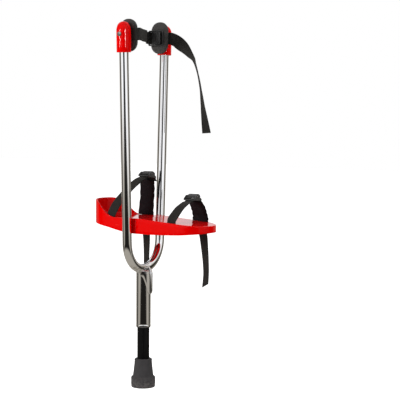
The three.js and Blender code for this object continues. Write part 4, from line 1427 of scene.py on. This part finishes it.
def studio_floor():
    """A pale matt floor that looks white from anywhere and doesn't show in the chrome."""
    size = 9.0
    mesh = bpy.data.meshes.new("floor")
    corners_at = [(-size, -size, 0), (size, -size, 0), (size, size, 0), (-size, size, 0)]
    mesh.from_pydata(corners_at, [], [(0, 1, 2, 3)])
    floor = bpy.data.objects.new("floor", mesh)
    bpy.context.scene.collection.objects.link(floor)
    floor.visible_glossy = False
    finish = Finish("pale floor", specular=0.1)
    cloud = finish.noise(400, detail=3)
    finish.colour(finish.mix(cloud, (0.84, 0.84, 0.84), (0.8, 0.8, 0.8)))
    finish.rough(cloud.scaled(0.7, 0.85))
    finish.shader.inputs["Emission Color"].default_value = (1, 1, 1, 1)
    glow = rays_seen(finish.tree, "Is Camera Ray") * 0.95
    finish.tree.links.new(glow.socket, finish.shader.inputs["Emission Strength"])
    mesh.materials.append(finish.material)


def studio_world():
    """
    White to the camera and a dim even light on matt surfaces. In polished surfaces it shows as two
    tall bright panels beside a dark gap that widens downwards, warm grey walls with a dark gap
    each, a white wall behind the stilt and a bright ceiling.
    """
    world = bpy.data.worlds.new("studio")
    world.use_nodes = True
    bpy.context.scene.world = world
    tree = world.node_tree
    direction = tree.nodes.new("ShaderNodeTexCoord").outputs["Generated"]
    split = tree.nodes.new("ShaderNodeSeparateXYZ")
    tree.links.new(direction, split.inputs[0])
    x, y, z = (Shade(tree, split.outputs[i]) for i in range(3))
    flat = (x * x + y * y + 1e-4).math("SQRT")

    def facing(azimuth):
        """Cosine of the angle, seen from above, to a direction."""
        a = math.radians(azimuth)
        return (x * math.sin(a) + y * -math.cos(a)).math("DIVIDE", flat)

    front = facing(CAMERA_AZIMUTH)
    panels = front.between(0.2, 0.42) * z.between(-0.15, -0.04)
    back = (front * -1).between(0.75, 0.92) * z.between(-0.02, 0.03)
    ceiling = z.between(0.35, 0.6)
    narrow = (z * 0.08).math("MINIMUM", z * 0.7)
    gap_edge = narrow.math("MINIMUM", (z + 0.05) * 2.6) + 0.963
    inside_gap = facing(CAMERA_AZIMUTH - 2) - gap_edge
    low = (z * -1).between(0.07, 0.12)
    gap = inside_gap.between(-0.022, 0.01) * (low * -1 + 1) + inside_gap.between(-0.2, 0.1) * low
    right_gap, left_gap = (
        facing(CAMERA_AZIMUTH + turn).between(0.95, 0.98) for turn in (105, -105))
    upright = z.between(-0.5, -0.3) * (z * -1).between(-0.45, -0.25)
    lit = panels.math("MAXIMUM", back).math("MAXIMUM", ceiling * 0.8)
    shown = lit.scaled(0.42, 1.15) * (gap * upright * -0.965 + 1)
    shown = shown * ((right_gap + left_gap) * upright * -0.9 + 1)
    tint = mixed(tree, lit, (1, 0.93, 0.8), (0.985, 0.99, 1))
    polished = rays_seen(tree, "Is Glossy Ray")
    seen = rays_seen(tree, "Is Camera Ray")
    matt = (seen * -1 + 1) * (polished * -1 + 1)
    background = tree.nodes["Background"]
    strength = seen + polished * shown + matt * z.between(-0.3, 0.9).scaled(0.16, 0.34)
    tree.links.new(strength.socket, background.inputs["Strength"])
    tree.links.new(mixed(tree, polished, (1, 1, 1), tint), background.inputs["Color"])


def area_light(name, azimuth, elevation, distance, size, power, shine_on=None):
    """A softbox that faces the stilt. It lights matt surfaces, or only shines on some pieces."""
    light = bpy.data.lights.new(name, "AREA")
    light.shape = "RECTANGLE"
    light.size, light.size_y = size
    light.energy = power
    lamp = bpy.data.objects.new(name, light)
    bpy.context.scene.collection.objects.link(lamp)
    a, e = math.radians(azimuth), math.radians(elevation)
    back = Vector((math.sin(a) * math.cos(e), -math.cos(a) * math.cos(e), math.sin(e)))
    lamp.location = Vector((0, 0, 0.4)) + back * distance
    lamp.rotation_euler = (-back).to_track_quat("-Z", "Y").to_euler()
    lamp.visible_camera = False
    lamp.visible_glossy = shine_on is not None
    lamp.visible_diffuse = shine_on is None
    if shine_on:
        lamp.light_linking.receiver_collection = shine_on


def studio_lights():
    area_light("key", CAMERA_AZIMUTH - 54, 14, 2.2, (0.6, 0.9), 38)
    area_light("fill", CAMERA_AZIMUTH + 80, 20, 2.2, (1.2, 1.6), 22)
    area_light("overhead", 0, 80, 2.2, (1.6, 1.6), 14)
    caps = bpy.data.collections.new("caps")
    for name in ("cap_left", "cap_right"):
        caps.objects.link(bpy.data.objects[name])
    area_light("left strip", CAMERA_AZIMUTH - 63, 11.5, 2.0, (0.3, 0.5), 46, caps)
    area_light("near strip", CAMERA_AZIMUTH + 26, 12, 2.0, (0.26, 0.5), 34, caps)


def camera():
    """A nearly level view from the left, turned so that the stilt stands left of the middle."""
    distance = 2.597
    eye = 0.57
    data = bpy.data.cameras.new("camera")
    data.lens = 114.5
    data.sensor_width = 36
    turned, looks_down, leans = (math.radians(degrees) for degrees in (2.53, 4.04, 0.42))
    cam = bpy.data.objects.new("camera", data)
    bpy.context.scene.collection.objects.link(cam)
    a = math.radians(CAMERA_AZIMUTH)
    cam.location = (math.sin(a) * distance, -math.cos(a) * distance, eye)
    aim = Matrix.Rotation(a - turned, 4, "Z")
    tilt = Matrix.Rotation(math.pi / 2 - looks_down, 4, "X")
    roll = Matrix.Rotation(leans, 4, "Z")
    cam.rotation_euler = (aim @ tilt @ roll).to_euler()
    bpy.context.scene.camera = cam


bent_frame()
sleeve()
weld_bead()
gusset()
sprung_leg()
rubber_foot()
footplate()
plate_bracket()
calf_side("left", -1)
calf_side("right", 1)
for strap_name, strap_plan in FOOT_STRAPS.items():
    foot_strap(strap_name, strap_plan)
    instep_pad(strap_name, strap_plan)
calf_webbing()

studio_floor()
studio_world()
studio_lights()
camera()
bpy.context.scene.view_settings.view_transform = "Standard"
